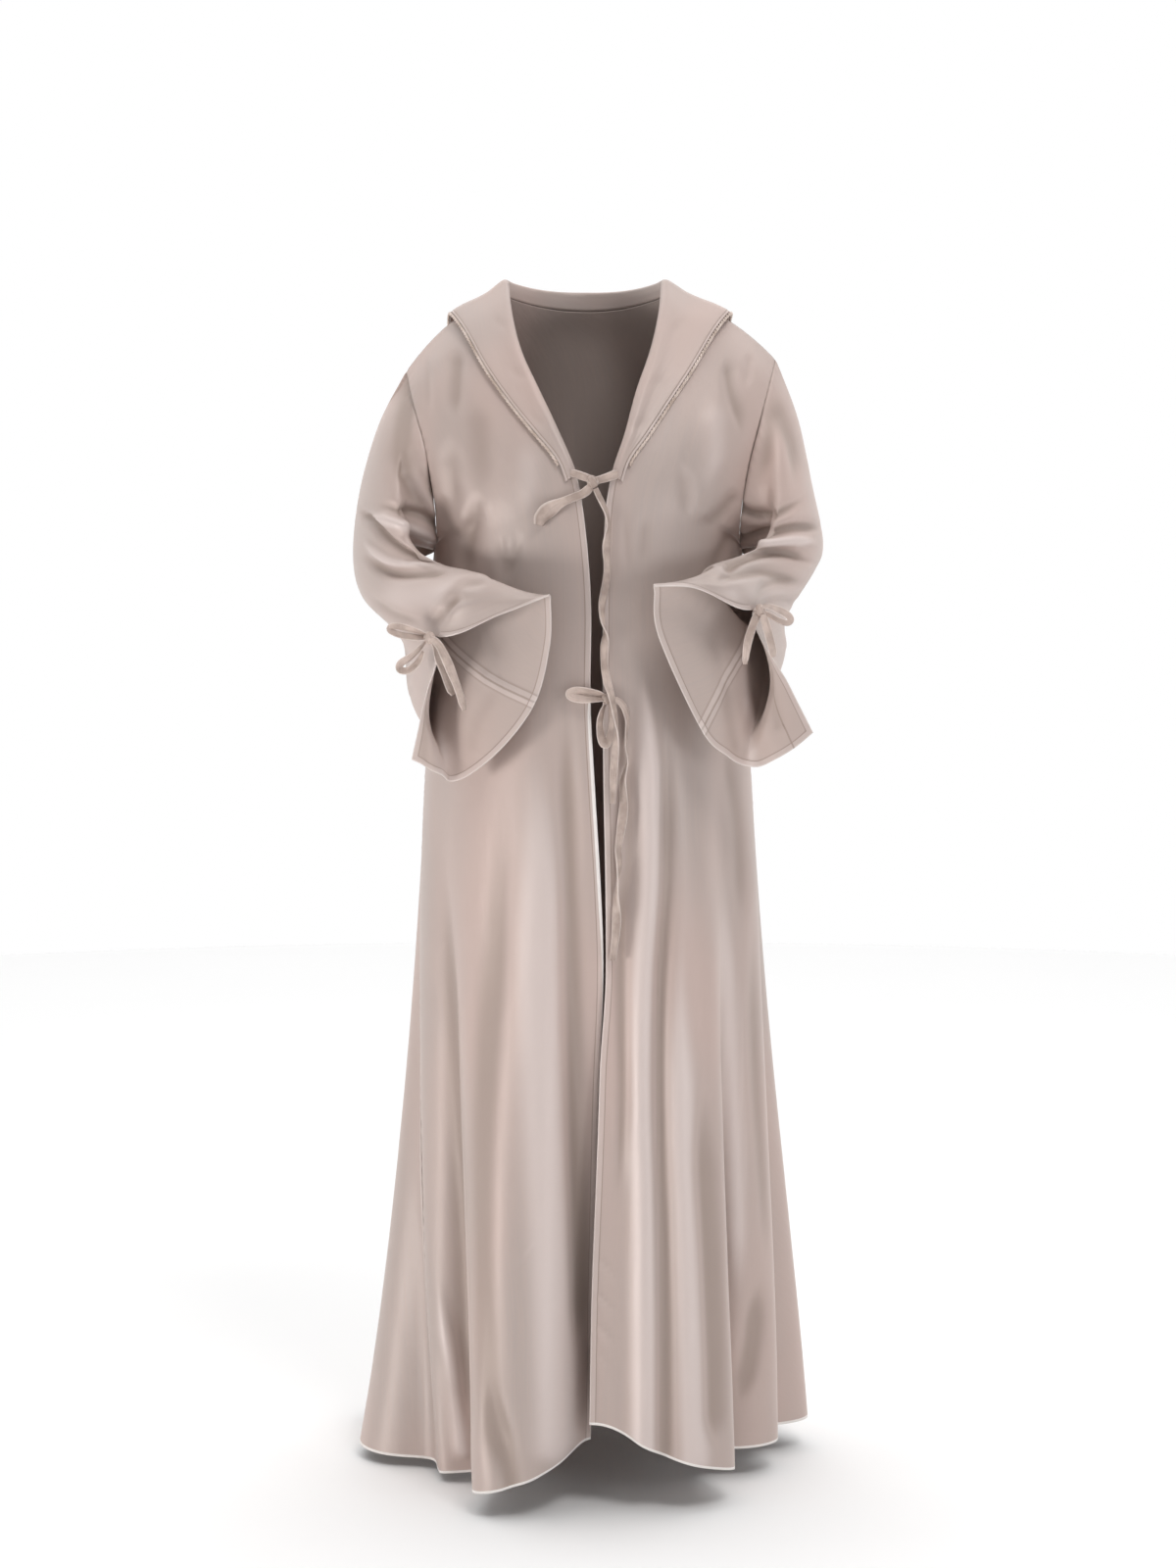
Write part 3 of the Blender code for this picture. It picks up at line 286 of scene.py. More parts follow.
# Relief: the weave's threads, soft crumpling, then the stitched lines.
fine = cloth.noise((1, 0.4, 1), 900.0, 2.0)
relief = (satin_weave(weft, warp, 0.6) * 0.35 + fine * 0.8).bump(0.10, 0.0002)
relief = cloth.noise((1, 0.45, 1), 26.0, 4.0, 0.55).bump(0.16, 0.006, relief)
relief = (stitches * 0.6 - line * 0.5 + thread * 0.8).bump(0.7, 0.0004, relief)
rough = 0.50 + inside * 0.14 + covered * 0.2 + (streaks - 0.5) * 0.07 + (patches - 0.5) * 0.05
floats = (1.0 - covered) * (SHINE - inside * BACK_DULLED)
looks = {"Base Color": colour, "Roughness": rough, "Metallic": floats, "Normal": relief}
finish_satin(body_satin, shader, looks, 0.55)

# ---------------------------------------------------------------- the body of the cloak
# Two fronts and one back of satin, cut flaring from the shoulder and sewn together at the shoulders and
# sides. The fronts' edges are turned and top-stitched, and the skirt's edge is overlocked. The panels hang
# in long soft folds that start at the bust and the shoulder blades and grow down to the hem.


def table(columns, rows):
    """Rows of a table as dictionaries, each value under its column's name."""
    return [dict(zip(columns, row)) for row in rows]


HEM_Z = -1.300  # the hem below the neck points
# "down" runs from the shoulder seam, 0, to the hem, 1. A row starts at the front edge or the centre back,
# at "start_y" and "start_z", and ends at the armhole or side seam, at "side", "side_y" and "side_z".
# "turn" is how far it has turned from straight across there, in degrees, and "fall" how late in the row
# its height drops.
PANEL_COLUMNS = ("name", "down", "start_y", "start_z", "side", "side_y", "side_z", "turn", "fall")
FRONT_ROWS = table(
    PANEL_COLUMNS,
    [
        ("shoulder", 0.00, 0.004, -0.004, 0.205, 0.002, -0.086, 8, 1.9),
        ("yoke", 0.05, -0.034, -0.030, 0.198, -0.034, -0.112, 18, 1.7),
        ("high chest", 0.10, -0.068, -0.066, 0.188, -0.060, -0.148, 35, 1.5),
        ("chest", 0.16, -0.102, -0.110, 0.177, -0.074, -0.194, 50, 1.3),
        ("bust", 0.22, -0.132, -0.160, 0.170, -0.070, -0.244, 62, 1.2),
        ("low bust", 0.26, -0.146, -0.198, 0.170, -0.044, -0.275, 78, 1.1),
        ("underarm", 0.30, -0.152, -0.240, 0.174, 0.000, -0.292, 90, 1.0),
        ("ribs", 0.37, -0.158, -0.330, 0.177, 0.000, -0.362, 90, 1.0),
        ("waist", 0.46, -0.166, -0.450, 0.180, 0.000, -0.460, 90, 1.0),
        ("hip", 0.60, -0.180, -0.650, 0.195, 0.000, -0.650, 90, 1.0),
        ("thigh", 0.75, -0.198, -0.880, 0.213, 0.005, -0.880, 90, 1.0),
        ("calf", 0.88, -0.224, -1.100, 0.232, 0.010, -1.100, 90, 1.0),
        ("hem", 1.00, -0.246, HEM_Z, 0.250, 0.015, HEM_Z, 90, 1.0),
    ],
)
BACK_ROWS = table(
    PANEL_COLUMNS,
    [
        ("shoulder", 0.00, 0.072, -0.018, 0.205, 0.002, -0.086, 8, 1.9),
        ("yoke", 0.05, 0.090, -0.048, 0.198, 0.040, -0.110, 16, 1.7),
        ("blades", 0.10, 0.102, -0.086, 0.189, 0.066, -0.148, 30, 1.5),
        ("high back", 0.16, 0.110, -0.136, 0.181, 0.076, -0.196, 45, 1.3),
        ("mid back", 0.22, 0.116, -0.194, 0.176, 0.066, -0.246, 60, 1.2),
        ("low back", 0.26, 0.119, -0.236, 0.173, 0.038, -0.276, 78, 1.1),
        ("underarm", 0.30, 0.121, -0.276, 0.174, 0.000, -0.292, 90, 1.0),
        ("ribs", 0.37, 0.126, -0.352, 0.177, 0.000, -0.362, 90, 1.0),
        ("waist", 0.46, 0.134, -0.456, 0.180, 0.000, -0.460, 90, 1.0),
        ("hip", 0.60, 0.154, -0.650, 0.195, 0.000, -0.650, 90, 1.0),
        ("thigh", 0.75, 0.184, -0.880, 0.213, 0.005, -0.880, 90, 1.0),
        ("calf", 0.88, 0.212, -1.100, 0.232, 0.010, -1.100, 90, 1.0),
        ("hem", 1.00, 0.240, HEM_Z, 0.250, 0.015, HEM_Z, 90, 1.0),
    ],
)
# Where each front's inner edge lies: along the V of the neck down to the top tie, then along the opening.
FRONT_EDGE = table(
    ("down", "right", "left"),
    [
        (0.00, -0.090, 0.0830),
        (0.05, -0.084, 0.0780),
        (0.10, -0.074, 0.0690),
        (0.16, -0.053, 0.0530),
        (0.22, -0.029, 0.0390),
        (0.26, -0.013, 0.0260),
        (0.30, -0.005, 0.0190),
        (0.37, 0.003, 0.0165),
        (0.46, 0.003, 0.0160),
        (0.53, 0.008, 0.0170),
        (0.60, 0.014, 0.0190),
        (0.66, 0.017, 0.0195),
        (0.75, 0.012, 0.0165),
        (0.88, 0.007, 0.0090),
        (1.00, 0.003, 0.0060),
    ],
)
# "at" is a fold's place across the panels, from -1 at the front edge through 0 at the side seam to 1 at
# the centre back, where it begins and at the hem. "out" is how far the cloth stands out there (or, if
# negative, sinks), "wide" the fold's half width, "begins" how far down it starts and "lean" how far its
# crest is pushed towards the side.
FOLDS = table(
    ("side", "at", "at_hem", "wide", "out", "begins", "lean"),
    [
        ("right", -0.66, -0.62, 0.20, 0.058, 0.30, 0.000),
        ("right", -0.30, -0.24, 0.10, -0.030, 0.36, 0.000),
        ("right", -0.05, -0.05, 0.08, 0.014, 0.44, 0.000),
        ("right", 0.06, 0.07, 0.05, -0.022, 0.50, 0.000),
        ("right", 0.17, 0.20, 0.12, 0.034, 0.34, 0.000),
        ("left", -0.66, -0.62, 0.13, 0.028, 0.30, 0.020),
        ("left", -0.88, -0.88, 0.07, -0.010, 0.34, 0.000),
        ("left", -0.44, -0.40, 0.10, -0.048, 0.34, 0.012),
        ("left", -0.20, -0.18, 0.10, 0.014, 0.42, 0.010),
        ("left", -0.01, -0.01, 0.06, -0.022, 0.46, 0.000),
        ("left", 0.13, 0.14, 0.10, 0.032, 0.46, 0.000),
        ("both", 0.36, 0.38, 0.08, -0.026, 0.36, 0.000),
        ("both", 0.53, 0.55, 0.09, 0.024, 0.34, 0.000),
        ("both", 0.75, 0.75, 0.08, -0.030, 0.30, 0.000),
        ("both", 1.00, 1.00, 0.12, 0.024, 0.26, 0.000),
    ],
)
# From the waist down the side seams swing forward and in, and the back wraps round in front of them.
SEAM_DRIFT = {
    "right": dict(inward=0.088, forward=0.110, drop=0.026, turn=42, fuller=1.00),
    "left": dict(inward=0.034, forward=0.030, drop=0.000, turn=14, fuller=0.30),
}
DRIFT_BEGINS = 0.46
# The wearer holds the left shoulder a little higher, which lifts the cloth as far down as the low bust.
SHOULDER_LIFT = {"right": 0.000, "left": 0.013}
LIFT_ENDS = 0.26
# Each front's lower corner is cut round, so that its hem rises to the opening.
HEM_CORNER = {"right": dict(rise=0.036, wide=0.055), "left": dict(rise=0.062, wide=0.085)}
CORNER_BEGINS = 0.80
# Below the waist tie the right front's edge rolls back behind the left one's.
ROLL_BACK = {"right": 0.060, "left": 0.022}
ROLL_WIDE = 0.030
ROLL_BEGINS = 0.56
CLOTH = 0.0009  # the satin's wall
HEM_EXTRA = 0.0005  # each side of a turned hem stands out by this much
UNDERARM = 0.30  # share of a panel's height above the underarm
NECK_SHARE = 0.44  # share of half the back's top edge that is neckline
NECK_BLEND = 0.16  # share of the back's height over which it leaves its top edge's line
SIDE = {"right": -1.0, "left": 1.0}  # which way each side lies along X


def column(rows, name):
    """One column of a table."""
    return np.array([row[name] for row in rows], float)


def through(keys, values, at):
    """A smooth curve through a table's values at its keys, read at the places asked for."""
    keys = np.asarray(keys, float)
    values = np.asarray(values, float)
    at = np.clip(np.asarray(at, float), keys[0], keys[-1])
    slope = np.diff(values, axis=0) / (np.diff(keys) if values.ndim == 1 else np.diff(keys)[:, None])
    ends = np.concatenate([slope[:1], (slope[:-1] + slope[1:]) / 2, slope[-1:]])
    i = np.clip(np.searchsorted(keys, at, side="right") - 1, 0, len(keys) - 2)
    step = keys[i + 1] - keys[i]
    t = (at - keys[i]) / step
    if values.ndim > 1:
        t, step = t[..., None], step[..., None]
    return (
        (1 + 2 * t) * (1 - t) ** 2 * values[i]
        + t * (1 - t) ** 2 * step * ends[i]
        + t * t * (3 - 2 * t) * values[i + 1]
        + t * t * (t - 1) * step * ends[i + 1]
    )


def ease(x):
    """0 up to 0, 1 from 1 and smooth between them."""
    x = np.clip(x, 0, 1)
    return x * x * (3 - 2 * x)


def unit(vectors):
    """The same directions, one long."""
    return vectors / np.maximum(np.linalg.norm(vectors, axis=-1, keepdims=True), 1e-12)


def row_values(rows, names, down):
    """A table's values at any height of the panels."""
    keys = column(rows, "down")
    return [through(keys, column(rows, name), down) for name in names]


def row_curve(start, end, turn, fall, outward, fuller=0.0, samples=193):
    """One row across a panel: straight across at its start, and turned by the given angle where it ends."""
    t = np.linspace(0, 1, samples)[:, None]
    chord = np.linalg.norm(end[:2] - start[:2]) * (1.17 + fuller)
    first = np.array([1.0, 0.0]) * chord
    last = np.array([math.cos(turn), outward * math.sin(turn)]) * chord
    flat = (
        (1 + 2 * t) * (1 - t) ** 2 * start[:2]
        + t * (1 - t) ** 2 * first
        + t * t * (3 - 2 * t) * end[:2]
        + t * t * (t - 1) * last
    )
    length = np.concatenate([[0], np.cumsum(np.linalg.norm(np.diff(flat, axis=0), axis=1))])
    share = length / length[-1]
    height = start[2] + (end[2] - start[2]) * share**fall
    return share, np.column_stack([flat, height]), length[-1]


def fold_push(side, at, down):
    """How far the folds push the cloth out and along the row, in metres."""
    out = np.zeros_like(at)
    along = np.zeros_like(at)
    for fold in FOLDS:
        if fold["side"] not in (side, "both"):
            continue
        grown = np.clip((down - fold["begins"]) / (1 - fold["begins"]), 0, 1)
        centre = fold["at"] + (fold["at_hem"] - fold["at"]) * grown
        shape = np.exp(-(((at - centre) / fold["wide"]) ** 2)) * ease(grown) * (0.35 + 0.65 * grown)
        out += fold["out"] * shape
        along += fold["lean"] * shape
    return out, along


def pushed(points, at, down, side, forward):
    """A row moved by its folds. "forward" is 1 where the row runs towards the side seam from the front."""
    run = unit(np.gradient(points[:, :2], axis=0))
    normal = np.column_stack([run[:, 1], -run[:, 0]]) * forward
    out, along = fold_push(side, at, down)
    moved = points.copy()
    moved[:, :2] += normal * out[:, None] + run * forward * along[:, None]
    return moved


def side_end(rows, side, down):
    """Where a row meets the armhole or side seam, how far it has turned there, and how its height falls."""
    out, side_y, side_z, turn, fall = row_values(rows, ("side", "side_y", "side_z", "turn", "fall"), down)
    drift = SEAM_DRIFT[side]
    grown = max(0.0, (down - DRIFT_BEGINS) / (1 - DRIFT_BEGINS)) ** 1.9
    lift = SHOULDER_LIFT[side] * max(0.0, 1 - down / LIFT_ENDS) ** 1.5
    end = np.array(
        [
            out - drift["inward"] * grown + lift / 2,
            side_y - drift["forward"] * grown,
            side_z - drift["drop"] * grown + lift,
        ]
    )
    return end, turn, fall, drift["turn"] * grown, drift["fuller"] * grown


FINE = np.linspace(0, 1, 385)


def front_row(side, down, across):
    """Points of a front at one height, from its inner edge, 0, to the armhole or side seam, 1."""
    edge_y, edge_z = row_values(FRONT_ROWS, ("start_y", "start_z"), down)
    end, turn, fall, drifted, _ = side_end(FRONT_ROWS, side, down)
    edge_x = row_values(FRONT_EDGE, (side,), down)[0] * SIDE[side]
    start = np.array([edge_x, edge_y, edge_z])
    share, line, length = row_curve(start, end, math.radians(turn - drifted), fall, 1)
    if callable(across):
        across = across(length)
    plain = np.column_stack([np.interp(FINE, share, line[:, k]) for k in range(3)])
    moved = pushed(plain, FINE - 1, down, side, 1)
    points = np.column_stack([np.interp(across, FINE, moved[:, k]) for k in range(3)])
    from_edge = across * length
    corner = HEM_CORNER[side]
    near_hem = ease((down - CORNER_BEGINS) / (1 - CORNER_BEGINS))
    points[:, 2] += corner["rise"] * near_hem * np.exp(-((from_edge / corner["wide"]) ** 2))
    rolled = ease((down - ROLL_BEGINS) / (1 - ROLL_BEGINS)) * ROLL_BACK[side]
    points[:, 1] += rolled * np.exp(-((from_edge / ROLL_WIDE) ** 2))
    points[:, 0] *= SIDE[side]
    return points, across


def plain_back_row(side, down, across):
    """Points of one half of the back at one height, before its folds."""
    middle_y, middle_z = row_values(BACK_ROWS, ("start_y", "start_z"), down)
    end, turn, fall, drifted, fuller = side_end(BACK_ROWS, side, down)
    start = np.array([0.0, middle_y, middle_z])
    share, line, _ = row_curve(start, end, math.radians(turn + drifted), fall, -1, fuller)
    return np.column_stack([np.interp(across, share, line[:, k]) for k in range(3)])


def top_edge(side, across):
    """The back's top edge: the neckline from the centre back to the neck point, then the shoulder seam."""
    outward = (SIDE[side], 1, 1)
    neck_point = front_row(side, 0.0, np.zeros(1))[0][0] * outward
    middle_y, middle_z = row_values(BACK_ROWS, ("start_y", "start_z"), 0.0)
    share = np.clip(across / NECK_SHARE, 0, 1)
    curve = share**2.2
    neck = np.column_stack(
        [
            neck_point[0] * share,
            middle_y + (neck_point[1] - middle_y) * curve,
            middle_z + (neck_point[2] - middle_z) * curve,
        ]
    )
    seam = front_row(side, 0.0, np.clip((across - NECK_SHARE) / (1 - NECK_SHARE), 0, 1))[0] * outward
    return np.where((across <= NECK_SHARE)[:, None], neck, seam)


def back_row(side, down, across):
    """Points of one half of the back at one height, from the centre back, 0, to the armhole or side, 1."""
    moved = pushed(plain_back_row(side, down, FINE), 1 - FINE, down, side, -1)
    fade = max(0.0, 1 - down / NECK_BLEND) ** 2
    if fade > 0:
        moved += fade * (top_edge(side, FINE) - plain_back_row(side, 0.0, FINE))
    points = np.column_stack([np.interp(across, FINE, moved[:, k]) for k in range(3)])
    points[:, 0] *= SIDE[side]
    return points


# Rows and columns lie close together along hems and seams, so that these can be turned and sunk.
MILLIMETRE = 0.001
HEM_STEPS = np.array([0.0, 0.9, 2.0, 3.2, 4.6, 5.8, 6.8, 7.8, 9.2, 12.0]) * MILLIMETRE
SEAM_STEPS = np.array([0.0, 0.9, 1.9, 3.2, 5.2, 8.0]) * MILLIMETRE
NO_STEPS = np.zeros(1)
PANEL_LENGTH = 1.33
HALF_BACK_WIDE = 0.40
ARMHOLE_ROWS, SKIRT_ROWS = 74, 158
FRONT_COLUMNS, HALF_BACK_COLUMNS = 66, 76


def spaced(length, first, last, between):
    """Places along a length of cloth, as shares of it, close together at both ends."""
    middle = np.linspace(first[-1], length - last[-1], between)
    return np.concatenate([first, middle[1:-1], length - last[::-1]]) / length


high = spaced(UNDERARM * PANEL_LENGTH, SEAM_STEPS, NO_STEPS, ARMHOLE_ROWS - len(SEAM_STEPS) + 1)
low = spaced((1 - UNDERARM) * PANEL_LENGTH, NO_STEPS, HEM_STEPS, SKIRT_ROWS)
DOWNS = np.concatenate([high * UNDERARM, UNDERARM + low[1:] * (1 - UNDERARM)])
UNDERARM_ROW = int(np.argmin(np.abs(DOWNS - UNDERARM)))


def front_grid(side, downs, across):
    """The points of a front, and how far across it each of them lies."""
    rows = [front_row(side, down, across) for down in downs]
    return np.array([row[0] for row in rows]), np.array([row[1] for row in rows])


def back_grid(downs, half):
    """The points of the whole back, from the wearer's right side seam to the left one."""
    rows = []
    for down in downs:
        right = back_row("right", down, half)[::-1]
        left = back_row("left", down, half)
        rows.append(np.concatenate([right[:-1], left]))
    return np.array(rows)


# Beside a side seam the cloth follows it, less and less over these shares of a front and of half the back.
FOLLOWS = (1, 0.6, 0.25, 0)
FRONT_FOLLOWS_OVER = (0, 1 / 14, 2 / 14, 3 / 14)
BACK_FOLLOWS_OVER = (0, 1 / 25, 2 / 25, 3 / 25)


def join_side_seam(front, front_across, back, half, side, start):
    """Moves the edges of a front and the back to the line midway between them, below the underarm."""
    wide = len(half)
    back_half = back[start:, wide - 1 :] if side == "left" else back[start:, :wide][:, ::-1]
    front_end = front[start:, -1].copy()
    back_end = back_half[:, -1].copy()
    middle = (front_end + back_end) / 2
    front_share = np.interp(1 - front_across[start:], FRONT_FOLLOWS_OVER, FOLLOWS)
    back_share = np.interp(1 - half, BACK_FOLLOWS_OVER, FOLLOWS)
    front[start:] += front_share[..., None] * (middle - front_end)[:, None]
    back_half += back_share[None, :, None] * (middle - back_end)[:, None]


def normals_of(grid, closed_rows=None):
    """Unit normals of a grid of points. Rows that closed_rows marks wrap round."""
    down = np.gradient(grid, axis=0)
    across = np.gradient(grid, axis=1)
    if closed_rows is not None:
        wrapped = (grid[:, 1] - grid[:, -2]) / 2
        across[closed_rows, 0] = wrapped[closed_rows]
        across[closed_rows, -1] = wrapped[closed_rows]
    return unit(np.cross(across, down))


def lengths(grid, axis):
    """Distance along the cloth from the first row or column, in metres."""
    steps = np.linalg.norm(np.diff(grid, axis=axis), axis=2)
    zero = np.zeros((1, grid.shape[1]) if axis == 0 else (grid.shape[0], 1))
    return np.concatenate([zero, np.cumsum(steps, axis=axis)], axis=axis)


FULL_FOLD = 0.005  # a fold this high or deep has a value of 1 in the "fold" map


def creased(grid, normals, creases, forward=-1):
    """The cloth with its creases pressed in or raised, and how far that is as a share of a full fold. Each
    follows a line of (x, z) points in millimetres on the side that faces forward, or backward, fades at both
    ends, and is sharper on the side that it leans to."""
    facing = ease((normals[..., 1] * forward + 0.12) / 0.34)
    flat = grid[..., [0, 2]]
    push = np.zeros(grid.shape[:2])
    for crease in creases:
        line = np.array(crease["line"], float) * MILLIMETRE
        fine = through(np.arange(len(line)), line, np.linspace(0, len(line) - 1, 4 * len(line) - 3))
        along = np.concatenate([[0], np.cumsum(np.linalg.norm(np.diff(fine, axis=0), axis=1))])
        reach = 3.2 * crease["wide"] * MILLIMETRE
        low, high = fine.min(axis=0) - reach, fine.max(axis=0) + reach
        near = np.nonzero(np.all((flat > low) & (flat < high), axis=2) & (facing > 0))
        if not len(near[0]):
            continue
        point = flat[near]
        best = np.full(len(point), 1e9)
        offset, share = np.zeros(len(point)), np.zeros(len(point))
        for n, (one, two) in enumerate(zip(fine, fine[1:])):
            run = two - one
            t = np.clip((point - one) @ run / (run @ run), 0, 1)
            apart = point - one - t[:, None] * run
            distance = np.hypot(*apart.T)
            closer = distance < best
            best = np.where(closer, distance, best)
            side = np.sign(run[0] * apart[:, 1] - run[1] * apart[:, 0])
            offset = np.where(closer, side * distance, offset)
            share = np.where(closer, (along[n] + t * (along[n + 1] - along[n])) / along[-1], share)
        begin, end = crease["fade"]
        grown = ease(share / begin) * ease((1 - share) / end)
        wide = crease["wide"] * MILLIMETRE * (0.55 + 0.45 * grown)
        s = offset / wide
        s = np.where(s * crease["lean"] > 0, s * (1 + abs(crease["lean"])), s)
        shape = (1 - 0.55 * s * s) * np.exp(-0.75 * s * s)
        push[near] += crease["deep"] * MILLIMETRE * shape * grown * facing[near]
    return grid + normals * push[..., None], push / FULL_FOLD


def sunk_seam(grid, normals, from_seam, along_seam, deep=0.9, pucker=0.35):
    """The cloth turned in along a sewn seam, with the slight pucker that its stitches draw up, both in mm."""
    groove = deep * np.exp(-((from_seam / 0.0020) ** 2))
    waves = np.sin(along_seam * 2 * math.pi / 0.0135) + 0.6 * np.sin(along_seam * 2 * math.pi / 0.0083 + 1.3)
    gather = pucker * waves * np.exp(-((from_seam / 0.0085) ** 2)) * ease(from_seam / 0.002)
    return grid - normals * ((groove + gather) * MILLIMETRE)[..., None]


def cloth_piece(name, grid, normals, maps, thick_out, thick_in, material, closed=None):
    """A closed wall on both sides of a grid, with its maps. Rows that "closed" marks are rings."""
    rows, columns = grid.shape[:2]
    layers = (grid + normals * thick_out[..., None], grid - normals * thick_in[..., None])
    number = np.arange(2 * rows * columns).reshape(2, rows, columns)
    weld = number.copy()
    if closed is not None:
        weld[:, closed, -1] = weld[:, closed, 0]
    faces = []

    def strip(a, b, c, d):
        """Four-sided faces between equal runs of points."""
        faces.append(np.stack([a.ravel(), b.ravel(), c.ravel(), d.ravel()], axis=1))

    out, back = number
    strip(out[:-1, :-1], out[:-1, 1:], out[1:, 1:], out[1:, :-1])
    strip(back[:-1, :-1], back[1:, :-1], back[1:, 1:], back[:-1, 1:])
    strip(out[0, :-1], back[0, :-1], back[0, 1:], out[0, 1:])
    strip(out[-1, :-1], out[-1, 1:], back[-1, 1:], back[-1, :-1])
    open_rows = np.arange(rows) if closed is None else np.nonzero(~closed)[0]
    if closed is not None:
        open_rows = np.concatenate([[open_rows[0] - 1], open_rows])
    one, two = open_rows[:-1], open_rows[1:]
    strip(out[one, 0], out[two, 0], back[two, 0], back[one, 0])
    strip(out[one, -1], back[one, -1], back[two, -1], out[two, -1])
    corners = np.concatenate(faces)
    points = np.concatenate([layer.reshape(-1, 3) for layer in layers])
    welded = weld.ravel()[corners]
    a, b, c, d = (points[welded[:, k]] for k in range(4))
    if np.einsum("ij,ij->", a, np.cross(b, c)) + np.einsum("ij,ij->", a, np.cross(c, d)) < 0:
        corners, welded = corners[:, ::-1], welded[:, ::-1]
    used, compact = np.unique(welded, return_inverse=True)
    mesh = bpy.data.meshes.new(name)
    mesh.from_pydata(points[used].tolist(), [], compact.reshape(-1, 4).tolist())
    for layer, values in maps.items():
        if layer == "seam":
            outer = np.stack([np.zeros((rows, columns)), values], axis=2)
            inner = np.stack([np.ones((rows, columns)), values], axis=2)
        else:
            outer = inner = np.stack(values, axis=2)
        both = np.concatenate([outer.reshape(-1, 2), inner.reshape(-1, 2)])[corners.ravel()]
        mesh.uv_layers.new(name=layer).data.foreach_set("uv", both.ravel().astype(np.float32))
    mesh.materials.append(material)
    mesh.shade_smooth()
    mesh.validate()
    piece = bpy.data.objects.new(name, mesh)
    bpy.context.scene.collection.objects.link(piece)
    return piece


TURNED = 0.0070  # width of a turned hem
STITCHED_IN = 0.00035  # how far its stitches draw each side in


def turned_hem(from_hem):
    """How much thicker the wall is where its hem is turned up and stitched down."""
    folded = 1 - ease((from_hem - TURNED) / 0.0012)
    stitch = np.exp(-(((from_hem - STITCHED_AT) / 0.0007) ** 2))
    rounded = 1 - 0.75 * np.exp(-((from_hem / 0.0009) ** 2))
    return HEM_EXTRA * folded * rounded - STITCHED_IN * stitch


FAR = 1.0  # a distance from an edge that a panel doesn't have
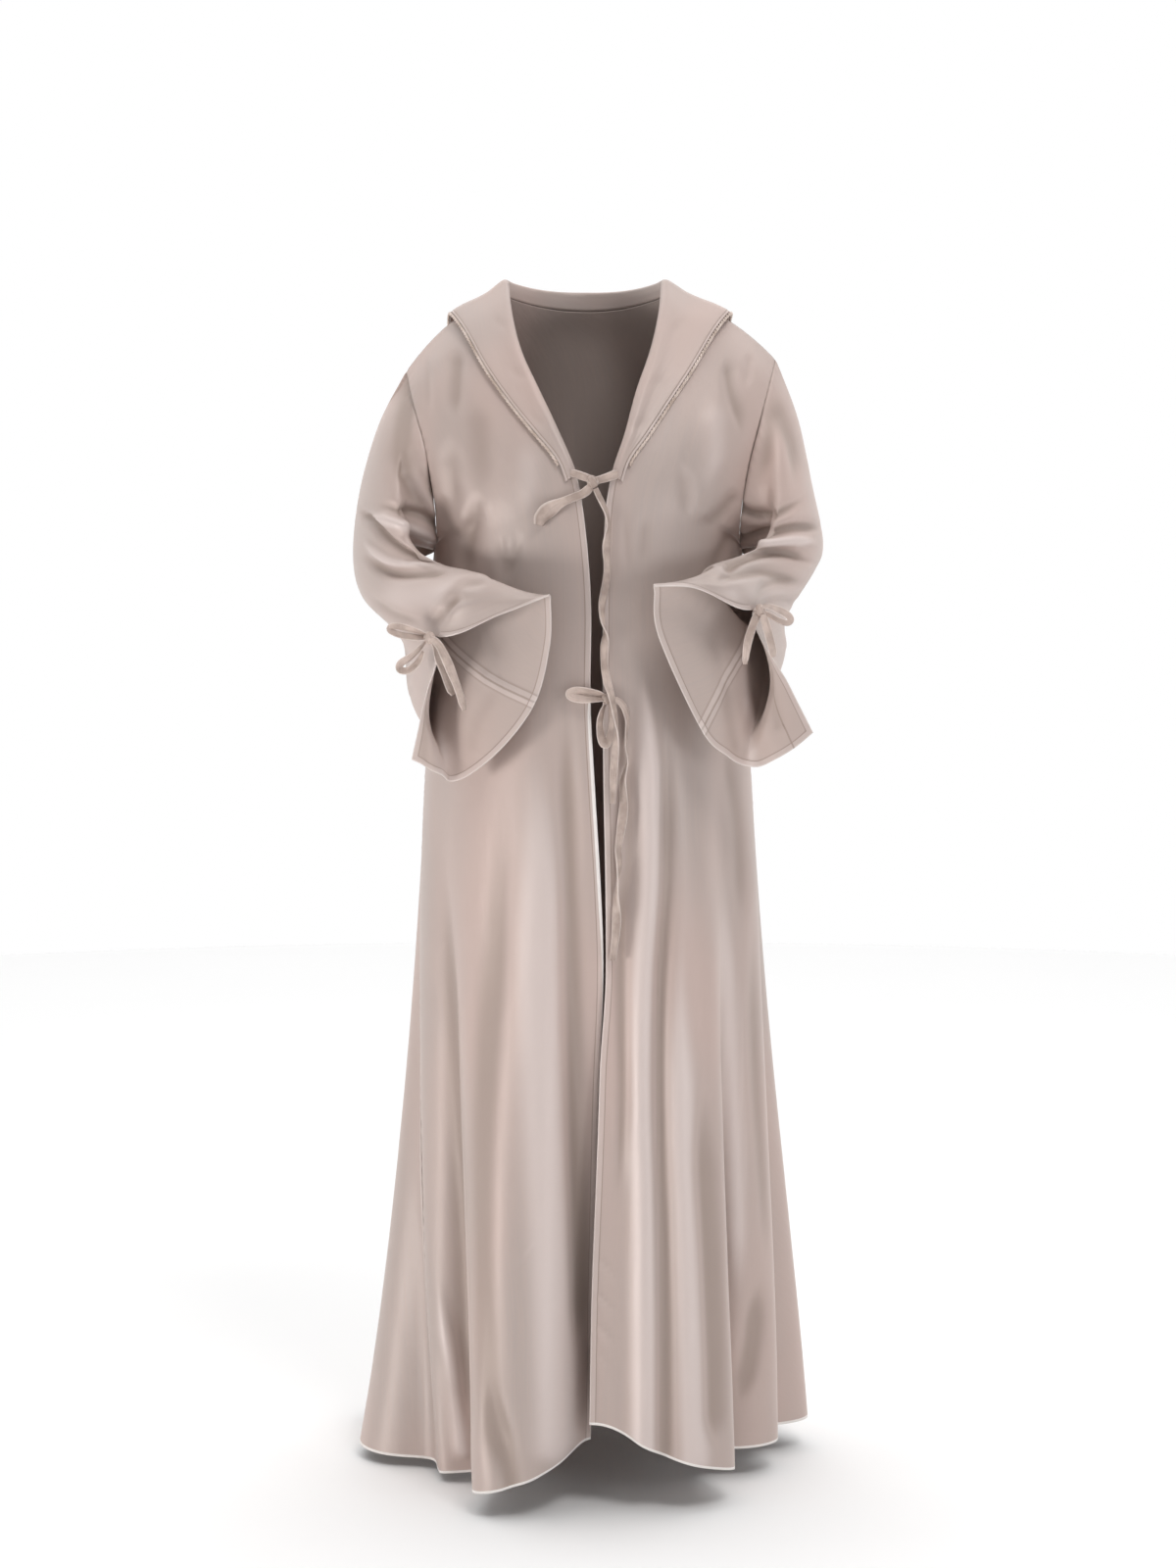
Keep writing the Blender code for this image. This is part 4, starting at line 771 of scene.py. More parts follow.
# Creases by side, their half width and height in millimetres (sunk if negative), which side they are
# sharper on, the shares of their length over which they fade at each end, and their line.
CREASE_COLUMNS = ("side", "wide", "deep", "lean", "fade", "line")
FRONT_CREASES = table(
    CREASE_COLUMNS,
    [
        # chest
        ("right", 7, -1.8, 0, (0.3, 0.4), [(-182, -69), (-180, -91), (-178, -117), (-176, -142)]),
        ("right", 13, -3.9, 0.4, (0.2, 0.4), [(-144, -60), (-146, -95), (-147, -120), (-149, -150)]),
        ("right", 12, -3.0, 0, (0.3, 0.4), [(-154, -155), (-151, -188), (-149, -221), (-146, -258)]),
        ("right", 20, -3.4, 0, (0.3, 0.4), [(-126, -105), (-120, -153), (-118, -202), (-118, -240)]),
        ("right", 11, -3.7, 0, (0.3, 0.3), [(-120, -215), (-128, -260), (-134, -293), (-132, -325)]),
        ("right", 8, -2.6, 0, (0.4, 0.4), [(-99, -260), (-92, -292), (-95, -325)]),
        ("right", 7, -2.6, 0, (0.4, 0.4), [(-73, -258), (-81, -291), (-89, -322)]),
        ("right", 18, 2.6, 0, (0.4, 0.4), [(-70, -150), (-64, -195), (-60, -245)]),
        ("right", 9, -3.0, 0, (0.2, 0.5), [(-170, -220), (-158, -246), (-145, -264), (-122, -280)]),
        ("left", 6, -1.8, 0, (0.3, 0.4), [(180, -64), (179, -84), (176, -108)]),
        ("left", 12, -3.9, -0.4, (0.2, 0.4), [(153, -70), (160, -109), (169, -142), (170, -168)]),
        ("left", 16, 3.0, 0, (0.3, 0.4), [(140, -108), (141, -145), (140, -181), (133, -222)]),
        ("left", 9, -3.0, 0, (0.2, 0.5), [(170, -218), (148, -242), (133, -253), (112, -256)]),
        ("left", 8, -2.6, 0, (0.4, 0.4), [(61, -235), (60, -270), (56, -305)]),
        ("left", 7, -2.1, 0, (0.4, 0.4), [(39, -235), (43, -273), (45, -315)]),
        ("left", 9, -2.3, 0, (0.4, 0.4), [(101, -182), (107, -217), (110, -250)]),
        ("left", 9, -2.8, 0, (0.2, 0.5), [(162, -256), (145, -290), (133, -310), (114, -318)]),
        # skirt
        (
            "right", 14, -5.0, 0, (0.2, 0.1),
            [
                (-30, -410), (-24, -465), (-22, -560), (-19, -660),
                (-14, -800), (-11, -930), (-8, -1060), (-8, -1180),
            ],
        ),
        (
            "right", 26, 6.0, 0, (0.3, 0.04),
            [(-70, -430), (-58, -520), (-52, -620), (-54, -760), (-50, -920), (-42, -1083), (-36, -1290)],
        ),
        (
            "right", 20, -5.3, 0, (0.35, 0.08),
            [
                (-98, -490), (-94, -567), (-102, -700), (-114, -850),
                (-120, -1000), (-112, -1150), (-100, -1300),
            ],
        ),
        (
            "right", 15, -5.5, 0.4, (0.3, 0.1),
            [
                (-162, -600), (-157, -706), (-153, -817), (-149, -940),
                (-144, -1060), (-139, -1180), (-136, -1290),
            ],
        ),
        ("right", 11, 4.8, 0, (0.4, 0.05), [(-172, -1100), (-159, -1171), (-148, -1225), (-140, -1310)]),
        ("right", 13, -6.0, 0, (0.5, 0.05), [(-110, -1170), (-100, -1222), (-89, -1255), (-80, -1320)]),
        ("right", 2.4, 1.0, 0, (0.4, 0.4), [(-177, -751), (-168, -735), (-159, -722)]),
        ("right", 2.4, 1.0, 0, (0.4, 0.4), [(-89, -1074), (-71, -1046), (-53, -1029)]),
        (
            "left", 9, -4.3, 0, (0.2, 0.3),
            [(37, -600), (36, -729), (37, -801), (39, -873), (36, -945), (32, -1020)],
        ),
        (
            "left", 15, 7.2, 0, (0.15, 0.04),
            [
                (56, -395), (64, -476), (70, -570), (72, -640), (63, -740),
                (60, -873), (62, -1000), (62, -1140), (62, -1310),
            ],
        ),
        (
            "left", 12, -6.0, 0, (0.2, 0.05),
            [
                (80, -440), (85, -530), (84, -637), (80, -740),
                (79, -850), (83, -980), (87, -1120), (86, -1310),
            ],
        ),
        ("left", 20, 6.0, 0, (0.4, 0.05), [(96, -640), (99, -801), (106, -960), (112, -1122), (118, -1310)]),
        (
            "left", 18, -6.0, 0, (0.3, 0.1),
            [(124, -840), (127, -946), (134, -1054), (139, -1161), (140, -1270)],
        ),
        ("left", 14, 4.3, 0, (0.3, 0.2), [(146, -600), (150, -704), (157, -816), (164, -965), (170, -1150)]),
        ("left", 16, -6.0, 0, (0.4, 0.3), [(194, -1090), (189, -1172), (177, -1227), (158, -1262)]),
        (
            "left", 10, -3.6, 0, (0.3, 0.3),
            [(184, -680), (188, -783), (192, -894), (200, -1007), (204, -1130)],
        ),
        ("left", 12, -3.6, 0, (0.3, 0.3), [(150, -470), (158, -522), (167, -574), (172, -648), (172, -720)]),
        ("left", 9, -3.1, 0, (0.3, 0.3), [(36, -480), (43, -547), (45, -601), (44, -690)]),
        ("left", 4, 1.6, 0, (0.2, 0.5), [(12, -1058), (22, -1070), (36, -1084)]),
        ("left", 4, 1.8, 0, (0.2, 0.5), [(9, -1094), (21, -1109), (36, -1119)]),
        ("left", 4, 1.6, 0, (0.2, 0.5), [(9, -1126), (20, -1141), (35, -1151)]),
        ("left", 4, 1.4, 0, (0.2, 0.5), [(9, -1158), (18, -1172), (32, -1184)]),
        ("left", 2.4, 1.0, 0, (0.4, 0.4), [(119, -866), (133, -874), (150, -890)]),
        ("left", 3, 1.1, 0, (0.3, 0.3), [(168, -700), (172, -820), (176, -940), (180, -1040)]),
    ],
)
BACK_CREASES = table(
    CREASE_COLUMNS,
    [
        ("both", 16, -3.2, 0, (0.3, 0.4), [(-30, -110), (-26, -260), (-38, -420), (-42, -600)]),
        ("both", 14, -3.0, 0.3, (0.3, 0.4), [(58, -150), (54, -300), (68, -470), (72, -680)]),
        ("both", 12, -3.0, 0, (0.2, 0.5), [(-150, -120), (-128, -210), (-122, -320), (-130, -440)]),
        ("both", 12, -2.8, 0, (0.2, 0.5), [(160, -130), (138, -230), (128, -330), (136, -470)]),
        ("both", 10, -2.6, 0, (0.2, 0.5), [(-178, -230), (-150, -276), (-112, -306), (-70, -318)]),
        ("both", 10, -2.6, 0, (0.2, 0.5), [(180, -240), (156, -290), (118, -326), (84, -336)]),
        ("both", 9, -2.0, 0, (0.3, 0.4), [(-66, -40), (-88, -80), (-102, -140), (-98, -200)]),
        ("both", 9, -2.0, 0, (0.3, 0.4), [(72, -44), (96, -90), (106, -150), (100, -214)]),
        ("both", 22, 5.0, 0, (0.4, 0.04), [(2, -480), (8, -700), (-2, -950), (4, -1310)]),
        ("both", 18, -5.0, 0, (0.4, 0.05), [(-92, -520), (-98, -760), (-112, -1020), (-116, -1310)]),
        ("both", 16, -4.6, 0, (0.4, 0.05), [(98, -560), (112, -800), (118, -1040), (130, -1310)]),
        ("both", 16, 4.4, 0, (0.4, 0.05), [(-160, -580), (-174, -820), (-188, -1060), (-192, -1300)]),
        ("both", 16, 4.2, 0, (0.4, 0.05), [(164, -620), (178, -860), (190, -1080), (200, -1300)]),
        ("both", 12, -4.0, 0, (0.4, 0.05), [(48, -860), (52, -1020), (60, -1160), (58, -1310)]),
        ("both", 12, -3.6, 0, (0.4, 0.05), [(-50, -800), (-44, -980), (-48, -1140), (-42, -1310)]),
    ],
)

HALF = spaced(HALF_BACK_WIDE, NO_STEPS, SEAM_STEPS, HALF_BACK_COLUMNS)
fronts, fronts_across = {}, {}
for side in SIDE:
    fronts[side], fronts_across[side] = front_grid(
        side, DOWNS, lambda length: spaced(length, HEM_STEPS, SEAM_STEPS, FRONT_COLUMNS)
    )
back = back_grid(DOWNS, HALF)
for side in SIDE:
    join_side_seam(fronts[side], fronts_across[side], back, HALF, side, UNDERARM_ROW)
# From the thigh down, the left front's edge laps a few millimetres over the right front's.
LAP, LAP_WIDE, FRONT_WIDE = 0.0045, 0.012, 0.40
LAP_BEGINS, LAP_GROWS = 0.66, 0.08  # as shares of the panels' height
lap = LAP * ease((DOWNS - LAP_BEGINS) / LAP_GROWS)
near_edge = np.exp(-((fronts_across["left"] * FRONT_WIDE / LAP_WIDE) ** 2))
fronts["left"][..., 0] -= lap[:, None] * near_edge
armholes = {}
for side, back_column in (("right", 0), ("left", -1)):
    down_front, down_back = fronts[side][: UNDERARM_ROW + 1, -1], back[: UNDERARM_ROW + 1, back_column]
    armholes[side] = down_front.copy(), down_back.copy()

SHOULDER_SEAM = dict(deep=0.5, pucker=0.2)
# From the waist tie to the thigh, the right front's edge has rolled over and shows its pale overlocking.
LOCK_BEGINS, LOCK_GROWS = 0.44, 0.03
LOCK_ENDS, LOCK_FADES = 0.74, 0.16
for side in SIDE:
    turned = 1.0 if side == "right" else -1.0
    grid = fronts[side]
    normals = normals_of(grid) * turned
    grid, fold = creased(grid, normals, [row for row in FRONT_CREASES if row["side"] == side])
    normals = normals_of(grid) * turned
    across, down = lengths(grid, 1), lengths(grid, 0)
    to_side, to_hem = across[:, -1:] - across, down[-1:] - down
    grid = sunk_seam(grid, normals, to_side, down)
    grid = sunk_seam(grid, normals, down, across, **SHOULDER_SEAM)
    normals = normals_of(grid) * turned
    fronts[side] = grid
    thick = CLOTH / 2 + turned_hem(across)
    shown = ease((DOWNS - LOCK_BEGINS) / LOCK_GROWS) * ease((LOCK_ENDS - DOWNS) / LOCK_FADES)
    shown = shown * (side == "right")
    from_lock = np.minimum(to_hem, across * 0.75 + OVERLOCKED * (1 - shown[:, None]))
    maps = {
        "cloth": (across + 0.37, -down),
        "hem": (down, across),
        "overlock": (np.where(from_lock < to_hem, down, across), from_lock),
        "fold": (fold, np.full_like(down, FAR)),
        "seam": np.minimum(to_side, down),
    }
    piece = cloth_piece(f"front_panel_{side}", grid, normals, maps, thick, thick, body_satin)
    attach(piece, "root")
    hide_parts(f"front_{side}")

turned = np.sign(normals_of(back)[UNDERARM_ROW, len(HALF) - 1, 1])
back, fold = creased(back, normals_of(back) * turned, BACK_CREASES, forward=1)
normals = normals_of(back) * turned
across, down = lengths(back, 1), lengths(back, 0)
to_side = np.minimum(across, across[:, -1:] - across)
from_middle = np.abs(np.arange(back.shape[1]) - (len(HALF) - 1))
on_shoulder = from_middle >= np.searchsorted(HALF, NECK_SHARE)
back = sunk_seam(back, normals, to_side, down)
back = np.where(on_shoulder[None, :, None], sunk_seam(back, normals, down, across, **SHOULDER_SEAM), back)
normals = normals_of(back) * turned
wall = np.full(back.shape[:2], CLOTH / 2)
maps = {
    "cloth": (across + 1.7, -down),
    "hem": (down, np.full_like(down, FAR)),
    "overlock": (across, down[-1:] - down),
    "fold": (fold, np.full_like(down, FAR)),
    "seam": np.minimum(to_side, np.where(on_shoulder[None], down, FAR)),
}
piece = cloth_piece("back_panel", back, normals, maps, wall, wall, body_satin)
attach(piece, "root")
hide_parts("back")

# ---------------------------------------------------------------- sleeves
# Two wide sleeves set into the armholes, each one piece of the satin closed by an underarm seam. Each is
# slit over the wrist. The hem and the slit's edges are turned and top-stitched, and the cloth below the
# wrist hangs in a bell.

# Guide points of each sleeve section in millimetres: out from the middle, forward or back, up or down.
# "near" is the line from the shoulder tip to the slit, "top" the front of the upper arm and the top of
# the forearm, "far" the underarm line and "low" the underside that hangs.
GUIDE_COLUMNS = ("name", "along", "near", "top", "far", "low")
SLEEVE_GUIDES = {
    "right": table(
        GUIDE_COLUMNS,
        [
            ("cap", 0.12, (233, -2, -140), (202, -90, -205), (216, -2, -304), (208, 88, -205)),
            ("upper arm", 0.26, (256, -8, -215), (206, -108, -245), (204, -22, -324), (228, 88, -258)),
            ("above elbow", 0.40, (262, -26, -286), (192, -124, -280), (188, -34, -326), (236, 70, -318)),
            ("elbow", 0.52, (250, -58, -325), (162, -142, -297), (168, -84, -348), (220, 36, -358)),
            ("forearm", 0.66, (214, -124, -352), (130, -182, -303), (134, -140, -362), (200, -10, -396)),
        ],
    ),
    "left": table(
        GUIDE_COLUMNS,
        [
            ("cap", 0.12, (236, -2, -138), (202, -90, -203), (216, -2, -304), (208, 88, -205)),
            ("upper arm", 0.26, (252, -8, -212), (206, -108, -245), (204, -24, -326), (228, 88, -254)),
            ("above elbow", 0.40, (262, -26, -274), (192, -124, -276), (188, -34, -322), (236, 68, -308)),
            ("elbow", 0.52, (250, -58, -298), (164, -142, -290), (168, -84, -348), (224, 36, -334)),
            ("forearm", 0.66, (218, -124, -322), (134, -182, -297), (136, -140, -358), (204, -10, -370)),
        ],
    ),
}
# Millimetres by which the cloth that hangs below the arm is pushed, on its near side and on its far side.
UNPUSHED = (0, 0, 0)
SLEEVE_FLARES = {
    "right": {
        "above elbow": (UNPUSHED, (6, -8, 0)),
        "elbow": (UNPUSHED, (12, -18, 0)),
        "forearm": ((-18, -8, -4), (8, -24, 0)),
    },
    "left": {
        "above elbow": (UNPUSHED, (6, -8, 0)),
        "elbow": (UNPUSHED, (12, -18, 0)),
        "forearm": ((-4, -4, -8), (12, -24, 0)),
    },
}
# The lines of the cuff down its three sections, in millimetres like the guide points, by the angle round
# from the slit's upper edge, over the wrist and down its inner side to the underarm seam, and round the
# hanging bell to the slit's lower edge. The slit opens below the bow.
CUFF_ALONG = {"bow": 0.75, "slit": 0.90, "hem": 1.00}
CUFF_COLUMNS = ("line", "angle", "bow", "slit", "hem")
CUFF_LINES = {
    "right": table(
        CUFF_COLUMNS,
        [
            ("upper edge", 0, (165, -206, -373), (91, -228, -347), (42, -236, -327)),
            ("over the wrist", 45, (139, -216, -335), (76, -228, -331), (41, -228, -327)),
            ("crest", 90, (106, -208, -310), (66, -214, -326), (40, -214, -335)),
            ("inner side", 135, (121, -176, -338), (76, -196, -363), (41, -202, -382)),
            ("underarm seam", 180, (161, -146, -371), (110, -182, -419), (57, -194, -445)),
            ("back", 225, (168, -108, -405), (135, -170, -461), (95, -186, -497)),
            ("low fold", 258, (185, -76, -440), (155, -158, -490), (131, -174, -527)),
            ("low front", 282, (197, -80, -449), (165, -162, -497), (151, -174, -533)),
            ("soft fold", 305, (194, -112, -437), (168, -178, -486), (164, -186, -524)),
            ("flap", 335, (179, -170, -407), (174, -188, -470), (178, -190, -515)),
            ("lower edge", 360, (165, -206, -373), (181, -190, -456), (192, -184, -508)),
        ],
    ),
    "left": table(
        CUFF_COLUMNS,
        [
            ("upper edge", 0, (178, -206, -344), (113, -230, -319), (71, -236, -317)),
            ("over the wrist", 45, (160, -214, -314), (105, -226, -313), (70, -228, -316)),
            ("crest", 90, (135, -206, -299), (100, -212, -317), (71, -214, -324)),
            ("inner side", 135, (151, -172, -338), (108, -194, -363), (76, -202, -373)),
            ("underarm seam", 180, (174, -146, -366), (147, -184, -428), (123, -194, -475)),
            ("back", 225, (181, -108, -382), (167, -172, -463), (151, -186, -504)),
            ("low fold", 258, (205, -76, -392), (178, -162, -481), (171, -176, -516)),
            ("low front", 282, (219, -80, -396), (184, -170, -482), (186, -178, -517)),
            ("soft fold", 305, (215, -112, -388), (191, -188, -470), (205, -188, -507)),
            ("flap", 335, (197, -170, -365), (206, -190, -451), (226, -188, -494)),
            ("lower edge", 360, (178, -206, -344), (219, -186, -428), (245, -180, -479)),
        ],
    ),
}
SLEEVE_CREASES = table(
    CREASE_COLUMNS,
    [
        # from the shoulder to the elbow
        (
            "right", 17, -6.0, 0, (0.3, 0.3),
            [(-196, -66), (-203, -110), (-207, -150), (-208, -190), (-215, -224)],
        ),
        ("right", 10, 3.0, 0, (0.3, 0.4), [(-187, -96), (-184, -140), (-180, -186), (-176, -222)]),
        ("right", 10, -4.5, 0, (0.3, 0.3), [(-206, -170), (-199, -205), (-187, -232), (-167, -250)]),
        ("right", 9, -3.8, 0, (0.3, 0.4), [(-166, -244), (-176, -207), (-187, -182), (-191, -150)]),
        ("left", 12, -4.5, 0, (0.3, 0.4), [(206, -100), (221, -146), (231, -182), (228, -225)]),
        ("left", 12, -3.8, 0, (0.3, 0.4), [(197, -105), (201, -138), (196, -181), (184, -222)]),
        # folds that fan out from the inside of the elbow
        (
            "right", 6.5, -6.7, 0, (0.12, 0.5),
            [(-156, -268), (-175, -252), (-196, -243), (-220, -236), (-244, -232)],
        ),
        (
            "right", 6.5, 6.1, 0, (0.2, 0.3),
            [(-158, -278), (-180, -268), (-202, -258), (-224, -250), (-250, -242)],
        ),
        (
            "right", 6.5, -7.7, 0.5, (0.15, 0.2),
            [(-260, -240), (-240, -250), (-222, -268), (-198, -284), (-160, -296)],
        ),
        (
            "right", 6, 5.1, 0, (0.3, 0.3),
            [(-256, -268), (-232, -288), (-206, -299), (-176, -300), (-152, -300)],
        ),
        (
            "right", 6, -5.4, 0, (0.3, 0.2),
            [(-256, -285), (-232, -303), (-209, -309), (-178, -306), (-146, -304)],
        ),
        (
            "left", 6.5, -5.8, 0, (0.12, 0.4),
            [(160, -230), (178, -243), (203, -245), (228, -234), (250, -222)],
        ),
        (
            "left", 6.5, -7.7, 0, (0.12, 0.2),
            [(152, -271), (175, -274), (201, -264), (231, -258), (268, -262)],
        ),
        ("left", 6.5, 5.8, 0, (0.2, 0.3), [(154, -284), (179, -279), (205, -274), (239, -274), (262, -280)]),
        ("left", 6, -6.7, 0, (0.12, 0.25), [(142, -303), (167, -290), (194, -284), (224, -287), (256, -302)]),
        ("left", 6, -5.1, 0, (0.2, 0.3), [(135, -314), (158, -306), (188, -304), (219, -312), (246, -322)]),
        # forearm, towards the bow
        (
            "right", 20, 3.4, 0, (0.3, 0.3),
            [(-245, -320), (-215, -330), (-180, -332), (-140, -326), (-98, -316)],
        ),
        ("left", 16, 2.6, 0, (0.3, 0.3), [(120, -322), (150, -322), (180, -326), (212, -336), (236, -345)]),
        ("right", 7, -4.5, 0, (0.3, 0.4), [(-154, -352), (-144, -329), (-129, -317), (-100, -315)]),
        ("right", 7, -4.2, 0, (0.3, 0.4), [(-168, -370), (-158, -349), (-143, -334), (-112, -327)]),
        ("right", 8, -3.5, 0, (0.3, 0.4), [(-244, -334), (-220, -350), (-196, -356), (-170, -358)]),
        ("left", 7, -4.2, 0, (0.3, 0.4), [(174, -335), (192, -320), (215, -317), (245, -326)]),
        ("left", 6, -3.5, 0, (0.2, 0.4), [(178, -342), (200, -336), (224, -340), (244, -352)]),
    ],
)
BELL_CREASES = table(
    CREASE_COLUMNS,
    [
        (
            "right", 9, 3.4, 0, (0.3, 0.05),
            [(-156, -420), (-161, -465), (-161, -491), (-159, -512), (-163, -540)],
        ),
        ("right", 9, -2.4, 0, (0.3, 0.1), [(-168, -400), (-174, -449), (-178, -492), (-180, -530)]),
        ("right", 12, -2.2, 0, (0.4, 0.2), [(-90, -400), (-104, -436), (-122, -470), (-130, -510)]),
        ("left", 9, 4.0, 0, (0.3, 0.05), [(163, -380), (171, -405), (172, -440), (177, -469), (180, -530)]),
        ("left", 10, -2.6, 0, (0.3, 0.1), [(193, -385), (200, -435), (210, -480)]),
        ("left", 9, -2.4, 0, (0.4, 0.2), [(146, -400), (152, -440), (158, -476), (166, -515)]),
    ],
)
SLIT_TOP = 0.75  # share of a sleeve's length where the slit begins
SLEEVE_LENGTH = 0.50
SET_IN = 0.26  # share of a sleeve's length over which it leaves the armhole's line
ARM_ROWS, BELL_ROWS = 84, 40
# The left sleeve's slit has a broad facing on its lower edge, stitched up to a hand's breadth above the hem.
FACING_WIDE, FACING_LONG = 0.028, 0.075
ALLOWANCE_THICK = 0.0014  # how far the turned cloth of the underarm seam stands into the sleeve


def section_ring(near, top, far, low, flare, back_flare, angle):
    """The closed section through four guide points, with the hanging part pushed by the flares."""
    a = np.radians(angle)[:, None]
    mean = (near + top + far + low) / 4
    ring = (
        mean
        + (near - far) / 2 * np.cos(a)
        + (top - low) / 2 * np.sin(a)
        + (near - top + far - low) / 4 * np.cos(2 * a)
    )
    hanging = np.where(np.sin(a) < 0, np.abs(np.sin(2 * a)) ** 3, 0)
    return ring + np.where(np.cos(a) > 0, flare, back_flare) * hanging


def sleeve_grid(side, alongs):
    """A sleeve from the armhole's edge, which runs from the shoulder tip down the front and up the back."""
    outward = np.array([SIDE[side], 1, 1])
    down_front, down_back = armholes[side]
    armhole = np.concatenate([down_front, down_back[:-1][::-1]]) * outward
    turn = 180 * DOWNS[: UNDERARM_ROW + 1] / UNDERARM
    plain = np.concatenate([turn, 360 - turn[:-1][::-1]])
    corners = [np.array([np.interp(at, plain, armhole[:, k]) for k in range(3)]) for at in (0, 90, 180, 270)]
    sections, lines = SLEEVE_GUIDES[side], CUFF_LINES[side]
    rings = [section_ring(*corners, np.zeros(3), np.zeros(3), plain)]
    for section in sections:
        guides = [section[name] for name in ("near", "top", "far", "low")]
        guides += SLEEVE_FLARES[side].get(section["name"], (UNPUSHED, UNPUSHED))
        rings.append(section_ring(*np.array(guides) * MILLIMETRE, plain))
    for name in CUFF_ALONG:
        rings.append(through(column(lines, "angle"), column(lines, name) * MILLIMETRE, plain))
    keys = [0.0, *column(sections, "along"), *CUFF_ALONG.values()]
    rest = armhole - rings[0]
    rings = np.array(rings).reshape(len(rings), -1)
    grid = []
    for along in alongs:
        ring = through(keys, rings, along).reshape(-1, 3)
        ring += rest * np.clip(1 - along / SET_IN, 0, 1) ** 2
        if along <= SLIT_TOP:
            ring -= (ring[-1] - ring[0]) * (plain / 360 - 0.5)[:, None]
        grid.append(ring * outward)
    return np.array(grid), plain


on_arm = spaced(SLIT_TOP * SLEEVE_LENGTH, SEAM_STEPS, NO_STEPS, ARM_ROWS)
on_bell = spaced((1 - SLIT_TOP) * SLEEVE_LENGTH, NO_STEPS, HEM_STEPS, BELL_ROWS)
ALONGS = np.concatenate([on_arm * SLIT_TOP, SLIT_TOP + on_bell[1:] * (1 - SLIT_TOP)])
CLOSED = ALONGS <= SLIT_TOP + 1e-9
sleeves, sleeve_normals = {}, {}
for side in SIDE:
    turned = -1.0 if side == "right" else 1.0
    grid, plain = sleeve_grid(side, ALONGS)
    grid[CLOSED, -1] = grid[CLOSED, 0]
    normals = normals_of(grid, CLOSED) * turned
    grid, fold = creased(grid, normals, [row for row in SLEEVE_CREASES if row["side"] == side])
    grid, bell_fold = creased(grid, -normals, [row for row in BELL_CREASES if row["side"] == side])
    normals = normals_of(grid, CLOSED) * turned
    around, down = lengths(grid, 1), lengths(grid, 0)
    underarm = np.abs(around - around[:, [int(np.argmin(np.abs(plain - 180)))]])
    grid = sunk_seam(grid, normals, down, around)
    grid = sunk_seam(grid, normals, underarm, down, deep=0.7, pucker=0.3)
    grid[CLOSED, -1] = grid[CLOSED, 0]
    normals = normals_of(grid, CLOSED) * turned
    normals[CLOSED, -1] = normals[CLOSED, 0]
    sleeves[side], sleeve_normals[side] = grid, normals
    to_hem, from_low = down[-1:] - down, around[:, -1:] - around
    from_slit = np.where(CLOSED[:, None], FAR, np.minimum(around, from_low))
    from_hem = np.minimum(to_hem, from_slit)
    along_hem = np.where(to_hem < from_slit, around, down)
    unfaced = CLOSED[:, None] | (to_hem > FACING_LONG) | (side == "right")
    from_facing_line = np.where(unfaced, FAR, from_low) - FACING_WIDE
    in_allowance = 1 - ease((underarm - ALLOWANCE + 0.0010) / 0.0012)
    allowance = ALLOWANCE_THICK * in_allowance * ease((to_hem - 0.002) / 0.004)
    thick = CLOTH / 2 + turned_hem(from_hem)
    maps = {
        "cloth": (around + 3.1, -down),
        "hem": (along_hem, from_hem),
        "overlock": (down, np.full_like(down, FAR)),
        "fold": (fold + bell_fold, from_facing_line),
        "seam": np.minimum(down, underarm),
    }
    name = f"sleeve_panel_{side}"
    piece = cloth_piece(name, grid, normals, maps, thick, thick + allowance, body_satin, CLOSED)
    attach(piece, "root")
    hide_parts(f"sleeve_{side}")

# ---------------------------------------------------------------- collar
# A shawl collar in a double layer of the satin. It stands up at the neckline, rolls over and lies on the
# shoulders and the chest down to the top tie.

# Stations along the collar from the top tie up to the shoulder, then round the back. "inner" is where the
# roll starts on the panel's edge and "outer" where the free edge lies, both as (down, across) on the
# front or, behind the shoulder seam, on the back. "stand" is the height of the roll and "off" how far the
# free edge stands away.
COLLAR = table(
    ("name", "inner", "outer", "stand", "off"),
    [
        ("tie", (0.262, 0.000), (0.266, 0.065), 0.002, 0.0034),
        ("low neck", (0.232, 0.000), (0.238, 0.085), 0.003, 0.0040),
        ("mid neck", (0.190, 0.000), (0.205, 0.160), 0.004, 0.0045),
        ("open neck", (0.130, 0.000), (0.152, 0.275), 0.006, 0.0050),
        ("high neck", (0.062, 0.000), (0.085, 0.400), 0.010, 0.0070),
        ("near shoulder", (0.020, 0.000), (0.030, 0.500), 0.015, 0.0110),
        ("shoulder", (0.000, 0.000), (0.000, 0.560), 0.018, 0.0130),
        ("behind shoulder", (0.000, 0.400), (0.034, 0.730), 0.019, 0.0120),
        ("back corner", (0.000, 0.300), (0.085, 0.620), 0.021, 0.0080),
        ("back", (0.000, 0.160), (0.118, 0.300), 0.023, 0.0055),
        ("centre back", (0.000, 0.000), (0.124, 0.000), 0.024, 0.0050),
    ],
)
SHOULDER_STATION = 6  # the last station on the front
